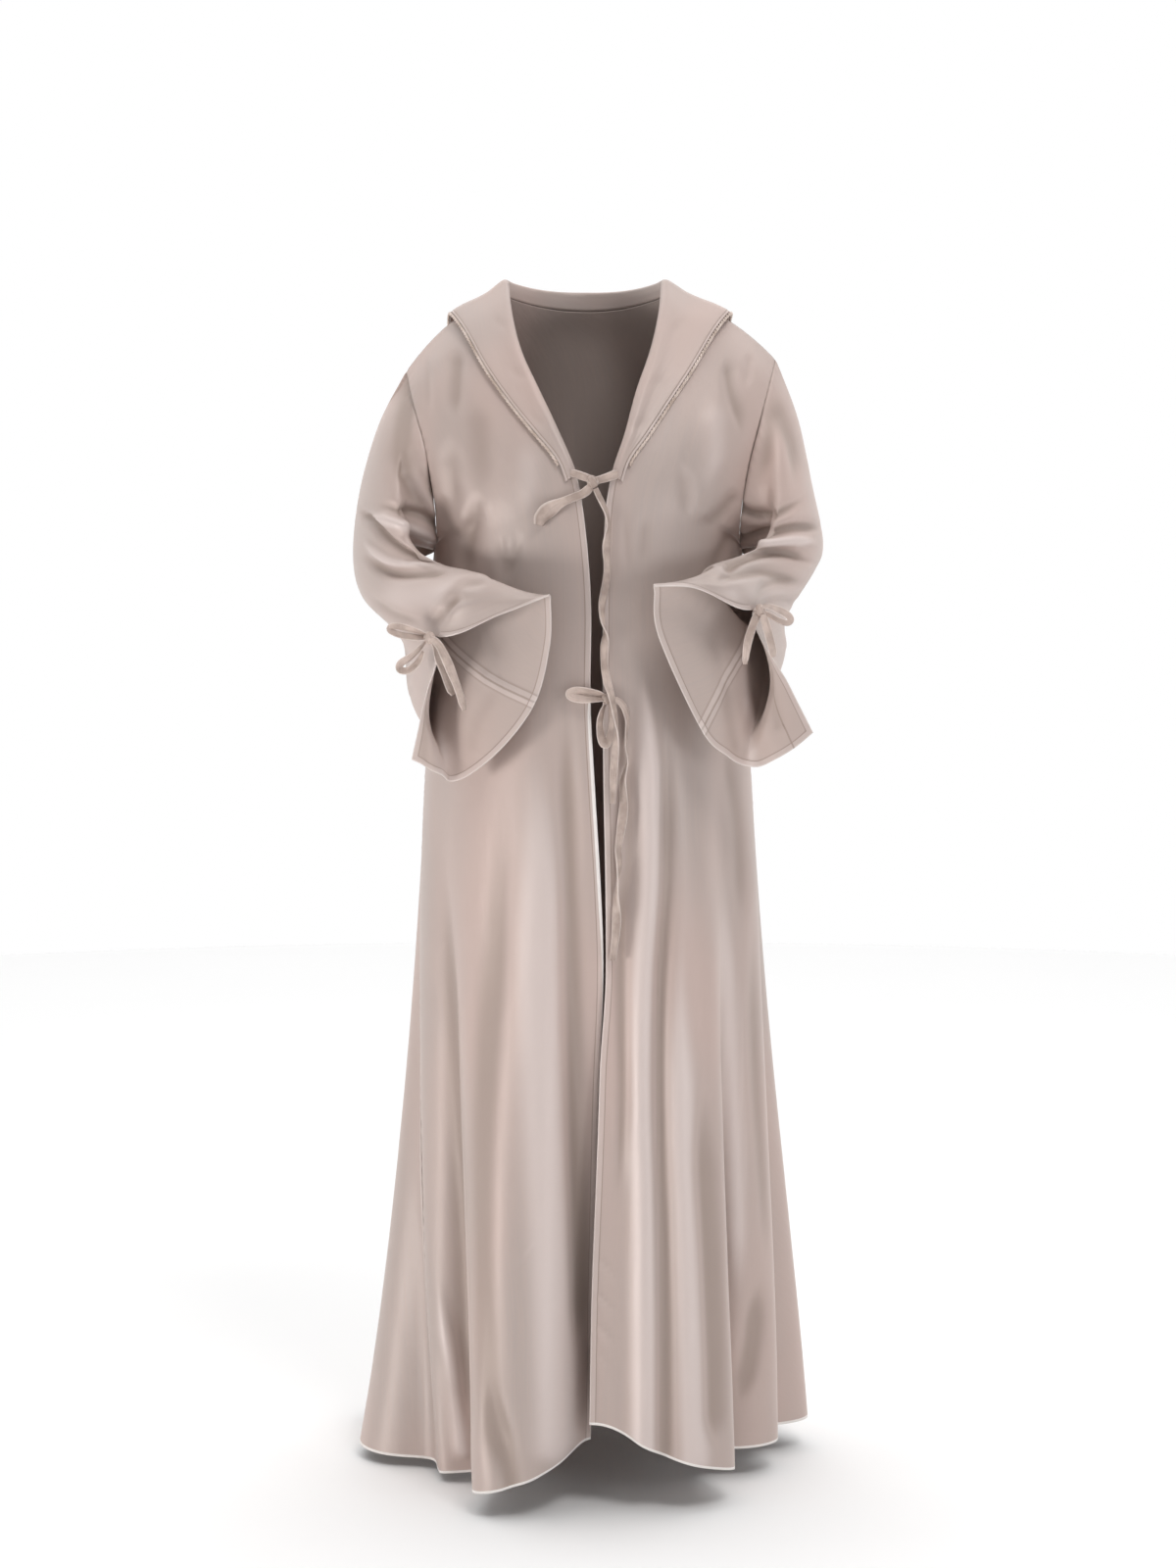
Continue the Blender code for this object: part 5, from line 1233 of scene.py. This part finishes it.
# The collar's section from its seam to its free edge.
COLLAR_SECTION = table(
    ("across", "height"),
    [
        (0.00, 0.00),
        (0.00, 0.50),
        (0.02, 0.88),
        (0.09, 1.00),
        (0.21, 0.74),
        (0.38, 0.34),
        (0.58, 0.10),
        (0.79, 0.02),
        (1.00, 0.00),
    ],
)
COLLAR_CREASES = table(
    CREASE_COLUMNS,
    [
        ("right", 5, -1.0, 0, (0.4, 0.4), [(-108, -26), (-96, -36), (-84, -40)]),
        ("right", 6, -1.2, 0, (0.4, 0.4), [(-90, -84), (-74, -92), (-60, -94)]),
        ("right", 8, -1.4, 0, (0.4, 0.4), [(-70, -130), (-52, -142), (-38, -146)]),
        ("left", 6, -1.2, 0, (0.4, 0.4), [(112, -24), (98, -40), (86, -44)]),
        ("left", 6, -1.0, 0, (0.4, 0.4), [(96, -90), (80, -98), (66, -98)]),
        ("left", 8, -1.4, 0, (0.4, 0.4), [(72, -138), (56, -146), (42, -148)]),
    ],
)
COLLAR_SPREAD = {"right": 0.91, "left": 1.0}
COLLAR_SEATING = 0.0024  # from the middle of a panel's wall to the middle of the collar's
COLLAR_CLOTH = 0.0014
COLLAR_PUFF = 0.0006  # how far the upper layer stands away from the lower one
COLLAR_ROWS = 121  # from the top tie to the centre back
COLLAR_PLACES = np.concatenate([np.linspace(0, 0.94, 30), [0.96, 0.975, 0.985, 0.993, 1.0]])
NECK_DOWNS = np.linspace(0, 0.34, 103)
EVEN_ACROSS = np.linspace(0, 1, 57)
ACROSS_NECK = np.concatenate([np.linspace(0, NECK_SHARE, 17), np.linspace(NECK_SHARE, 1, 57)[1:]])


class Surface:
    """A panel's middle surface, read between its grid's points, with its normals."""

    def __init__(self, grid, normals, down, across):
        self.grid, self.normals, self.down, self.across = grid, normals, down, across

    def at(self, down, across):
        """The point there, with its normal."""
        r = np.interp(down, self.down, np.arange(len(self.down)))
        c = np.interp(across, self.across, np.arange(len(self.across)))
        i = min(int(r), len(self.down) - 2)
        j = min(int(c), len(self.across) - 2)
        u, v = r - i, c - j
        found = []
        for field in (self.grid, self.normals):
            found.append(
                field[i, j] * (1 - u) * (1 - v)
                + field[i + 1, j] * u * (1 - v)
                + field[i, j + 1] * (1 - u) * v
                + field[i + 1, j + 1] * u * v
            )
        return found[0], unit(found[1])


def collar_span(side, on_back):
    """The stations of one panel, as (first station's number, inner places, outer places)."""
    spread = COLLAR_SPREAD[side]
    front = COLLAR[: SHOULDER_STATION + 1]
    if not on_back:
        outer = [(row["outer"][0], row["outer"][1] * spread) for row in front]
        return 0, column(front, "inner"), np.array(outer)
    behind = COLLAR[SHOULDER_STATION + 1 :]
    over = NECK_SHARE + (1 - NECK_SHARE) * front[-1]["outer"][1] * spread
    inner = np.vstack([(0.0, NECK_SHARE), column(behind, "inner")])
    outer = np.vstack([(0.0, over), column(behind, "outer")])
    return SHOULDER_STATION, inner, outer


def collar_half(side, front, back_half):
    """Rows of points from the tie to the centre back, each from the seam to the free edge."""
    rows = []
    for k in np.linspace(0, len(COLLAR) - 1, COLLAR_ROWS):
        on_back = k > SHOULDER_STATION
        first, inner_places, outer_places = collar_span(side, on_back)
        own = first + np.arange(len(inner_places))
        inner = through(own, inner_places, k)
        outer = through(own, outer_places, k)
        stations = np.arange(len(COLLAR))
        stand, off = (through(stations, column(COLLAR, name), k) for name in ("stand", "off"))
        up = ease(k / SHOULDER_STATION)
        line = []
        for even in COLLAR_PLACES:
            at = even * (len(COLLAR_SECTION) - 1)
            place, high = (
                through(np.arange(len(COLLAR_SECTION)), column(COLLAR_SECTION, name), at)
                for name in ("across", "height")
            )
            share = even + (place - even) * up
            point, normal = (back_half if on_back else front).at(*(inner + (outer - inner) * share))
            lift = unit(normal * (1 - up) + np.array([0.0, 0.0, 1.0]) * up)
            seating = COLLAR_SEATING + (off - COLLAR_SEATING) * ease(share)
            line.append(point + normal * seating + lift * stand * high)
        rows.append(np.array(line))
    return rows


collar_rows = {}
for side in SIDE:
    turned = 1.0 if side == "right" else -1.0
    grid, _ = front_grid(side, NECK_DOWNS, EVEN_ACROSS)
    on_the_front = Surface(grid, normals_of(grid) * turned, NECK_DOWNS, EVEN_ACROSS)
    grid = np.array([back_row(side, down, ACROSS_NECK) for down in NECK_DOWNS])
    normals = normals_of(grid)
    normals *= np.sign(normals[40, 0, 1])
    on_the_back = Surface(grid, normals, NECK_DOWNS, ACROSS_NECK)
    collar_rows[side] = collar_half(side, on_the_front, on_the_back)
collar = np.array(collar_rows["right"] + collar_rows["left"][::-1][1:])
# The stations meet in slight corners at the shoulders, which the doubled cloth smooths out.
for _ in range(6):
    collar[1:-1] = collar[1:-1] * 0.5 + (collar[:-2] + collar[2:]) * 0.25
turned = np.sign(normals_of(collar)[len(collar) // 2, -1, 1])
collar, fold = creased(collar, normals_of(collar) * turned, COLLAR_CREASES)
collar_normals = normals_of(collar) * turned
down, across = lengths(collar, 0), lengths(collar, 1)
to_edge = across[:, -1:] - across
thick_below = np.full_like(across, COLLAR_CLOTH / 2)
thick_above = thick_below + COLLAR_PUFF * ease(to_edge / 0.006) * ease(across / 0.01)
maps = {
    "cloth": (across + 5.3, down),
    "hem": (down, to_edge + STITCHED_AT - 0.0030),
    "overlock": (down, np.full_like(down, FAR)),
    "fold": (fold, np.full_like(down, FAR)),
    "seam": np.full_like(down, FAR),
}
piece = cloth_piece("shawl_collar", collar, collar_normals, maps, thick_above, thick_below, body_satin)
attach(piece, "root")
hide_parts("collar")

# ---------------------------------------------------------------- the collar's cord
# A cord twisted from two strands of satin, about 4 mm thick. Its colour is lighter than the cloak's: a
# painted highlight on its round strands. It is sewn all along the collar's free edge, from the top tie round
# the neck and back.
EDGING_LIT_FACE, EDGING_PAINTED_SHADE = (0.70, 0.59, 0.53, 1), (0.46, 0.36, 0.30, 1)
EDGING_RADIUS = 0.0019
EDGING_PITCH = 0.0098  # along the cord, for one full turn of its two strands
EDGING_PRESSED = 0.02  # wider than the strands' map, so that no pressed edge shows on them
STRAND_CENTRE, STRAND_RADIUS = 0.00085, 0.00108
STRAND_STEP, STRAND_POINTS = 0.0011, 8
STRAND_MAP = 0.0011  # metres of the map for each radian round a strand
FREE_ROWS = 8  # rows of the collar without cord at each of its two ends


def tube(rings):
    """A closed tube through rings of points, as points and faces."""
    rings = np.asarray(rings)
    count, around = rings.shape[:2]
    points = rings.reshape(-1, 3)
    faces = []
    for r in range(count - 1):
        for k in range(around):
            one, two = r * around + k, r * around + (k + 1) % around
            faces.append((one, two, two + around, one + around))
    faces.append(tuple(range(around))[::-1])
    faces.append(tuple(range((count - 1) * around, count * around)))
    return points, faces


def frames(route, toward=(0.0, -1.0, 0.0)):
    """Unit vectors along a route, across it, and facing out of the cloth."""
    run = unit(np.gradient(route, axis=0))
    aside = unit(np.cross(run, np.asarray(toward, float)))
    return run, aside, unit(np.cross(aside, run))


def even_route(route, step):
    """A route with its points evenly spaced."""
    along = np.concatenate([[0], np.cumsum(np.linalg.norm(np.diff(route, axis=0), axis=1))])
    places = np.linspace(0, along[-1], max(int(round(along[-1] / step)), 3) + 1)
    return np.column_stack([np.interp(places, along, route[:, k]) for k in range(3)]), places


def join_parts(name, parts, material):
    """One object from several closed parts, each (points, faces, along, across) with its own map."""
    mesh = bpy.data.meshes.new(name)
    points, faces, values, start = [], [], [], 0
    for part_points, part_faces, along, across in parts:
        points.extend(part_points.tolist())
        faces.extend([tuple(corner + start for corner in face) for face in part_faces])
        values.append(np.column_stack([across, along]))
        start += len(part_points)
    mesh.from_pydata(points, [], faces)
    values = np.concatenate(values).astype(np.float32)
    corners = np.empty(len(mesh.loops), np.int32)
    mesh.loops.foreach_get("vertex_index", corners)
    mesh.uv_layers.new(name="cloth").data.foreach_set("uv", values[corners].ravel())
    mesh.materials.append(material)
    work = bmesh.new()
    work.from_mesh(mesh)
    bmesh.ops.recalc_face_normals(work, faces=work.faces)
    work.to_mesh(mesh)
    work.free()
    mesh.shade_smooth()
    piece = bpy.data.objects.new(name, mesh)
    bpy.context.scene.collection.objects.link(piece)
    return piece


def strap_satin(name, face, shade_colour, lit_edge_colour, wide):
    """Satin of the narrow straps and cords: pressed flat, creased along its length, with patches of painted
    sheen, painted shade in its creases and a painted highlight on its edges.
    """
    made, shader, wire = start_material(name)
    cloth = wire.node("UVMap", {"uv_map": "cloth"})
    weft, warp = (cloth.node("SeparateXYZ", None, {0: cloth}, out) for out in (0, 1))
    # Patches of painted sheen, between the painted shade colour and the face.
    patches = object_place(wire).noise((1, 1, 1), 60.0, 3.0).between(0.3, 0.7)
    colour = patches.blend(shade_colour, face)
    folds = cloth.noise((420, 30, 1), 1.0, 2.0, 0.5)
    # Painted shade in the creases along the strap.
    colour = (folds.between(0.50, 0.68) * 0.55).blend(colour, shade_colour)
    # Painted highlight on the pressed edges.
    pressed_lit_edges = (weft * weft / (wide * wide / 4)).between(0.50, 0.92)
    colour = (pressed_lit_edges * 0.55).blend(colour, lit_edge_colour)
    relief = satin_weave(weft, warp, 0.5).bump(0.12, 0.0002)
    relief = (folds - pressed_lit_edges * 0.4).bump(0.7, 0.0013, relief)
    rough = 0.46 + (patches - 0.5) * 0.08
    finish_satin(made, shader, {"Base Color": colour, "Roughness": rough, "Normal": relief}, 0.5)
    return made


edging_satin = strap_satin("edging_satin", EDGING_LIT_FACE, EDGING_PAINTED_SHADE, EDGING_LIT_FACE, EDGING_PRESSED)
edge = collar[:, -1]
outward = unit(np.cross(collar_normals[:, -1], np.gradient(edge, axis=0)))
outward *= np.sign(np.sum(outward * (edge - collar[:, -3]), axis=1))[:, None]
beside = edge + outward * (EDGING_RADIUS + 0.0002)
route, places = even_route(beside[FREE_ROWS:-FREE_ROWS], STRAND_STEP)
run, aside, facing = frames(route, (0.0, -0.8, 0.6))
around = np.arange(STRAND_POINTS) * 2 * math.pi / STRAND_POINTS
parts = []
for strand in (0, 1):
    turn = (places / EDGING_PITCH * 2 * math.pi + strand * math.pi)[:, None]
    centre = route + (aside * np.cos(turn) + facing * np.sin(turn)) * STRAND_CENTRE
    rings = []
    for middle, sideways, out in zip(centre, aside, facing):
        ring = sideways * np.cos(around)[:, None] + out * np.sin(around)[:, None]
        rings.append(middle + STRAND_RADIUS * ring)
    points, faces = tube(rings)
    along_strand, round_strand = np.repeat(places, STRAND_POINTS), np.tile(around * STRAND_MAP, len(places))
    parts.append((points, faces, along_strand, round_strand))
piece = join_parts("collar_cord", parts, edging_satin)
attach(piece, "root")
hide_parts("collar_edging")

# ---------------------------------------------------------------- front ties
# Two pairs of narrow satin straps are sewn to the fronts' edges, at the foot of the collar and at the waist.
# Each pair is tied in a soft knot or bow, and one long end of each hangs free down the front, turning as it
# falls.
# The ties' face colour, the colour of their painted shade, and that of the painted highlight on their edges.
TIE_FACE, TIE_PAINTED_SHADE, TIE_LIT_EDGE = (0.545, 0.435, 0.385, 1), (0.35, 0.268, 0.23, 1), (0.74, 0.645, 0.60, 1)
TIE_WIDE, TIE_THICK = 0.0090, 0.0017
TAIL_WIDE, TAIL_THICK = 0.0092, 0.0027
STRAP_STEP, STRAP_POINTS = 0.0016, 16
CORD_STEP = 0.004  # between the points of a hanging end's stated path
KNOT_SIZE = (0.015, 0.012, 0.014)
KNOTTED = 0.06  # length of strap inside a knot
FRAYED_PUFF = 1.1  # the share by which a raw, frayed end is wider than its strap
LOOP_BREADTH = 0.66  # what a loop keeps of its breadth
# Routes of the two front ties, in millimetres: (x, z, distance in front of the fronts). "twist" is a strap's
# turn about its own line in degrees, at its start and its end, and "tail_turns" are the tail's turns as
# (share of its length, degrees). "tail_clear" is in metres.
FRONT_TIES = {
    "top": dict(
        knot=(5, -207, 9),
        tail_clear=0.0008,
        straps={
            "strap_right": dict(route=[(-19, -197, 8.5), (-9, -200, 9.5), (5, -205, 9)], twist=(0, 0)),
            "strap_left": dict(route=[(33, -198, 9), (22, -202, 10), (5, -207, 9)], twist=(0, 0)),
            "end": dict(
                route=[
                    (5, -210, 9), (-4, -219, 10), (-16, -224, 9), (-30, -230, 8), (-43, -238, 8),
                    (-51, -246, 8), (-54, -254, 8),
                ],
                twist=(0, 35),
            ),
        },
        tail=[
            (5, -207, 9), (10, -219, 9), (15, -229, 8), (20, -240, 7), (22, -252, 7), (21, -266, 7),
            (20, -281, 7), (21, -299, 7), (19, -320, 7), (15, -341, 7), (16, -358, 7), (19, -372, 7),
            (18, -388, 7), (18, -407, 9), (21, -424, 14), (25, -437, 19), (28, -452, 18), (31, -473, 19),
            (30, -494, 18), (28, -524, 14), (27, -556, 12),
        ],
        tail_turns=[
            (0, 10), (0.12, 70), (0.2, 20), (0.42, 60), (0.5, 160), (0.62, 190), (0.74, 250), (0.85, 340),
            (1, 360),
        ],
    ),
    "waist": dict(
        knot=(21, -442, 8),
        tail_clear=0.0003,
        straps={
            "strap_right": dict(route=[(-8, -438, 3.0), (3, -440, 3.0), (14, -441, 3.4)], twist=(0, 0)),
            "loop": dict(
                route=[
                    (21, -439, 9), (12, -434, 12), (0, -431, 12), (-13, -431, 11), (-21, -437, 10),
                    (-15, -443, 11), (-3, -445, 12), (9, -444, 12), (21, -443, 10),
                ],
                twist=(60, 60),
            ),
            "lower_loop": dict(
                route=[
                    (17, -449, 8), (12, -457, 8), (9, -470, 8), (12, -486, 8), (19, -493, 8), (26, -485, 8),
                    (29, -470, 8), (25, -448, 8),
                ],
                twist=(62, 62),
            ),
        },
        tail=[
            (21, -442, 8), (33, -445, 8.2), (39, -452, 7.4), (43, -465, 7.2), (42, -480, 7.1),
            (41, -495, 7.1), (43, -512, 7.1), (38, -533, 7.1), (39, -560, 7.1), (35, -592, 7.1),
            (33, -606, 7.1), (34, -625, 7.1), (31, -662, 7.1), (31, -690, 7.2), (27, -728, 8),
        ],
        tail_turns=[
            (0, 0), (0.1, 60), (0.25, 90), (0.4, 170), (0.55, 190), (0.7, 260), (0.85, 350), (1, 365),
        ],
    ),
}


def smooth_route(points, samples):
    """A smooth route in metres through points in millimetres."""
    points = np.array(points, float) * MILLIMETRE
    return through(np.arange(len(points)), points, np.linspace(0, len(points) - 1, samples))


even_downs = np.linspace(0, 1, 121)
front_points = [front_grid(side, even_downs, EVEN_ACROSS)[0].reshape(-1, 3) for side in SIDE]
on_front_cloth = np.concatenate(front_points)


def on_front(points, samples):
    """A smooth route laid in front of the two fronts, from (x, z, distance in front of them)."""
    placed = []
    for x, z, off in smooth_route(points, samples):
        far = (on_front_cloth[:, 0] - x) ** 2 + (on_front_cloth[:, 2] - z) ** 2
        near = np.argpartition(far, 4)[:4]
        weight = 1 / (far[near] + 1e-6)
        placed.append((x, np.sum(on_front_cloth[near, 1] * weight) / np.sum(weight) - off, z))
    return np.array(placed)


def strap(route, wide, thick, turns, ends, seed, puff=0.0):
    """A flat strap along a route, as one closed part. "turns" are (share of its length, angle in degrees) and
    "ends" what is left of its width at each end. A raw end that has come undone puffs out."""
    route, places = even_route(route, STRAP_STEP)
    for _ in range(3):
        route[1:-1] = route[1:-1] * 0.5 + (route[:-2] + route[2:]) * 0.25
    run, aside, facing = frames(route)
    share = places / places[-1]
    angle = np.radians(through([t[0] for t in turns], [t[1] for t in turns], share))
    wave = np.random.default_rng(seed).uniform(0, 2 * math.pi, 4)
    width = wide * (1 + 0.10 * np.sin(places / 0.019 + wave[0]) + 0.07 * np.sin(places / 0.0083 + wave[1]))
    width *= ends[0] + (1 - ends[0]) * ease(share / 0.12)
    width *= ends[1] + (1 - ends[1]) * ease((1 - share) / 0.10)
    puffed = puff * ease((share - 0.45) / 0.35)
    width *= 1 + puffed
    around = np.arange(STRAP_POINTS) * 2 * math.pi / STRAP_POINTS
    flat = np.sign(np.cos(around)) * np.abs(np.cos(around)) ** 0.75
    deep = np.sign(np.sin(around)) * np.abs(np.sin(around)) ** 0.75
    rings = []
    for n, point in enumerate(route):
        across = aside[n] * math.cos(angle[n]) + facing[n] * math.sin(angle[n])
        out = facing[n] * math.cos(angle[n]) - aside[n] * math.sin(angle[n])
        ripple = 0.16 * np.sin(3 * flat + places[n] / 0.007 + wave[2])
        ripple = ripple + 0.5 * (1 - np.abs(flat) ** 1.5) * math.sin(places[n] / 0.013 + wave[3])
        height = (deep * 0.5 + ripple * (0.35 + 0.6 * puffed[n])) * thick * (1 + 2 * puffed[n])
        rings.append(point + np.outer(flat * width[n] / 2, across) + np.outer(height, out))
    points, faces = tube(rings)
    return points, faces, np.repeat(places, STRAP_POINTS), np.tile(flat * wide / 2, len(places))


def knot(centre, tilt):
    """A soft knot: three turns of a strap drawn tight over one another round a core, as closed parts."""
    parts = []
    size = np.array(KNOT_SIZE)
    turns = np.linspace(0, 2 * math.pi, 41)
    around = np.arange(12) * 2 * math.pi / 12
    for lean, share, wide in ((tilt, 1.0, 0.52), (tilt - 62, 0.86, 0.50), (tilt + 78, 0.74, 0.46)):
        cosine, sine = math.cos(math.radians(lean)), math.sin(math.radians(lean))
        x, y, z = 0.36 * np.sin(2 * turns) * 0.3 * share, np.cos(turns) * share, np.sin(turns) * share
        turned = np.column_stack([x * cosine - z * sine, y, x * sine + z * cosine])
        route = centre + turned * size * 0.36
        run = unit(np.gradient(route, axis=0))
        out = unit(route - centre)
        across = unit(np.cross(run, out))
        half_wide, half_thick = np.cos(around) * size[0] * wide / 2, np.sin(around) * size[1] * 0.17
        rings = [
            point + np.outer(half_wide, sideways) + np.outer(half_thick, outward)
            for point, sideways, outward in zip(route[:-1], across, out)
        ]
        count, corners = len(rings), len(around)
        faces = []
        for r in range(count):
            this, following = r * corners, (r + 1) % count * corners
            for k in range(corners):
                beside = (k + 1) % corners
                faces.append((this + k, this + beside, following + beside, following + k))
        along = np.repeat(turns[:-1] * 0.006, corners)
        parts.append((np.concatenate(rings), faces, along, np.tile(np.cos(around) * 0.004, count)))
    core = bmesh.new()
    bmesh.ops.create_icosphere(core, subdivisions=3, radius=0.5)
    points = np.array([vertex.co for vertex in core.verts])
    points *= 1 + 0.05 * np.sin(points * 19).sum(axis=1)[:, None]
    faces = [tuple(vertex.index for vertex in face.verts) for face in core.faces]
    core.free()
    parts.append((centre + points * size * 0.86, faces, points[:, 2] * 0.01, points[:, 0] * 0.01))
    return parts


def outside_knot(route, centre, clear):
    """The part of a route that lies outside the knot, this far clear of it."""
    reach = np.linalg.norm((route - centre) / (np.array(KNOT_SIZE) / 2 + clear), axis=1)
    fine = np.linspace(0, len(route) - 1, 40 * len(route))
    free = fine[np.interp(fine, np.arange(len(route)), reach) >= 1]
    places = np.linspace(free[0], free[-1], len(route))
    return np.column_stack([np.interp(places, np.arange(len(route)), route[:, k]) for k in range(3)])


def pinched(route, centre):
    """A loop whose two sides have fallen together, towards the line from the knot to its tip."""
    tip = route[np.argmax(np.linalg.norm(route - centre, axis=1))]
    line = unit(tip - centre)
    on_line = centre + ((route - centre) @ line)[:, None] * line
    return on_line + (route - on_line) * LOOP_BREADTH


def easing_twist(twist):
    """The turns of a strap that eases out of its first twist on the way to its last."""
    start, end = twist
    return [(0, start), (0.5, start / 3), (1, end)]


tie_satin = strap_satin("tie_satin", TIE_FACE, TIE_PAINTED_SHADE, TIE_LIT_EDGE, TIE_WIDE)
for number, (name, tie) in enumerate(FRONT_TIES.items()):
    centre = on_front([tie["knot"], tie["knot"]], 2)[0]
    parts = knot(centre, 20)
    nodes = [f"tie_{name}_knot"]
    length = KNOTTED
    for part, laid in tie["straps"].items():
        route = on_front(laid["route"], 8 * len(laid["route"]))
        if "loop" in part:
            route = pinched(route, centre)
        puff = FRAYED_PUFF if part == "end" else 0.0
        seed = number * 7 + len(nodes)
        made = strap(route, TIE_WIDE, TIE_THICK, easing_twist(laid["twist"]), (0.7, 0.75), seed, puff)
        parts.append(made)
        length += made[2][-1]
        nodes.append(f"tie_{name}_{part}")
    piece = join_parts(f"front_tie_{name}", parts, tie_satin)
    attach(piece, "root")
    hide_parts(*nodes)

    tail = outside_knot(on_front(tie["tail"], 8 * len(tie["tail"])), centre, tie["tail_clear"])
    route, places = even_route(tail, CORD_STEP)
    made = strap(tail, TAIL_WIDE, TAIL_THICK, tie["tail_turns"], (0.7, 0.8), 31 + number)
    piece = join_parts(f"front_tail_{name}", [made], tie_satin)
    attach(piece, "root")
    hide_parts(f"tie_{name}_tail")

# ---------------------------------------------------------------- sleeve ties
# A thinner pair of satin straps is sewn to the top of each sleeve's slit and tied over it in a small bow,
# which gathers the cuff. The ends are cut straight and hang over the bell of the sleeve.
CUFF_TIE_WIDE, CUFF_TIE_THICK = 0.0090, 0.0015
KNOT_SEATING = 0.0013  # between the cuff's cloth and its knot
# Routes of the sleeve ties, in millimetres from the knot: (x outwards, y, z).
CUFF_TIES = {
    "right": {
        "upper_loop": dict(
            route=[
                (0, 0, 3), (12, -3, 9), (28, -2, 14), (40, 2, 14), (43, 4, 7), (32, 1, 1), (16, -2, -1),
                (0, 0, -1),
            ],
            twist=(65, 65),
        ),
        "lower_loop": dict(
            route=[
                (4, 0, -4), (12, -3, -13), (22, -2, -21), (33, 1, -27), (32, 2, -35), (20, 0, -38),
                (9, -2, -30), (4, -1, -17),
            ],
            twist=(60, 60),
        ),
        "end": dict(
            route=[
                (-3, -1, 0), (-8, -2, -10), (-10, -3, -23), (-16, -3, -38),
                (-21, -1, -51), (-26, 0, -62),
            ],
            twist=(10, 25),
        ),
        "outer_end": dict(
            route=[
                (0, -3, 0), (-9, -9, -5), (-17, -11, -19), (-25, -11, -38),
                (-32, -9, -57), (-38, -6, -78),
            ],
            twist=(0, 20),
        ),
    },
    "left": {
        "loop": dict(
            route=[
                (0, 0, 4), (9, -4, 8), (19, -3, 5), (30, 0, -2), (34, 1, -10), (29, 1, -16), (19, 0, -12),
                (10, -1, -5), (0, 0, -1),
            ],
            twist=(65, 65),
        ),
        "end": dict(
            route=[(0, 0, 0), (-5, -4, -9), (-9, -6, -20), (-13, -7, -33), (-15, -6, -46), (-16, -4, -58)],
            twist=(10, 20),
        ),
        "outer_end": dict(
            route=[(3, -6, -4), (6, -8, -14), (9, -8, -25), (12, -7, -36), (15, -5, -50)],
            twist=(5, 25),
        ),
    },
}
for number, side in enumerate(SIDE):
    last = int(np.nonzero(CLOSED)[0][-1])
    slit_top, normal = sleeves[side][last, 0], sleeve_normals[side][last, 0]
    centre = slit_top + normal * (KNOT_SEATING + np.linalg.norm(normal * np.array(KNOT_SIZE) / 2))
    parts = knot(centre, 10)
    nodes = [f"cuff_{side}_knot"]
    length = KNOTTED
    for part, laid in CUFF_TIES[side].items():
        route = smooth_route(laid["route"], 8 * len(laid["route"])) * (SIDE[side], 1, 1) + centre
        if "loop" in part:
            route = pinched(route, centre)
        seed = 60 + number * 9 + len(nodes)
        made = strap(route, CUFF_TIE_WIDE, CUFF_TIE_THICK, easing_twist(laid["twist"]), (0.7, 0.6), seed)
        parts.append(made)
        length += made[2][-1]
        nodes.append(f"cuff_{side}_{part}")
    piece = join_parts(f"sleeve_tie_{side}", parts, tie_satin)
    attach(piece, "root")
    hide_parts(*nodes)
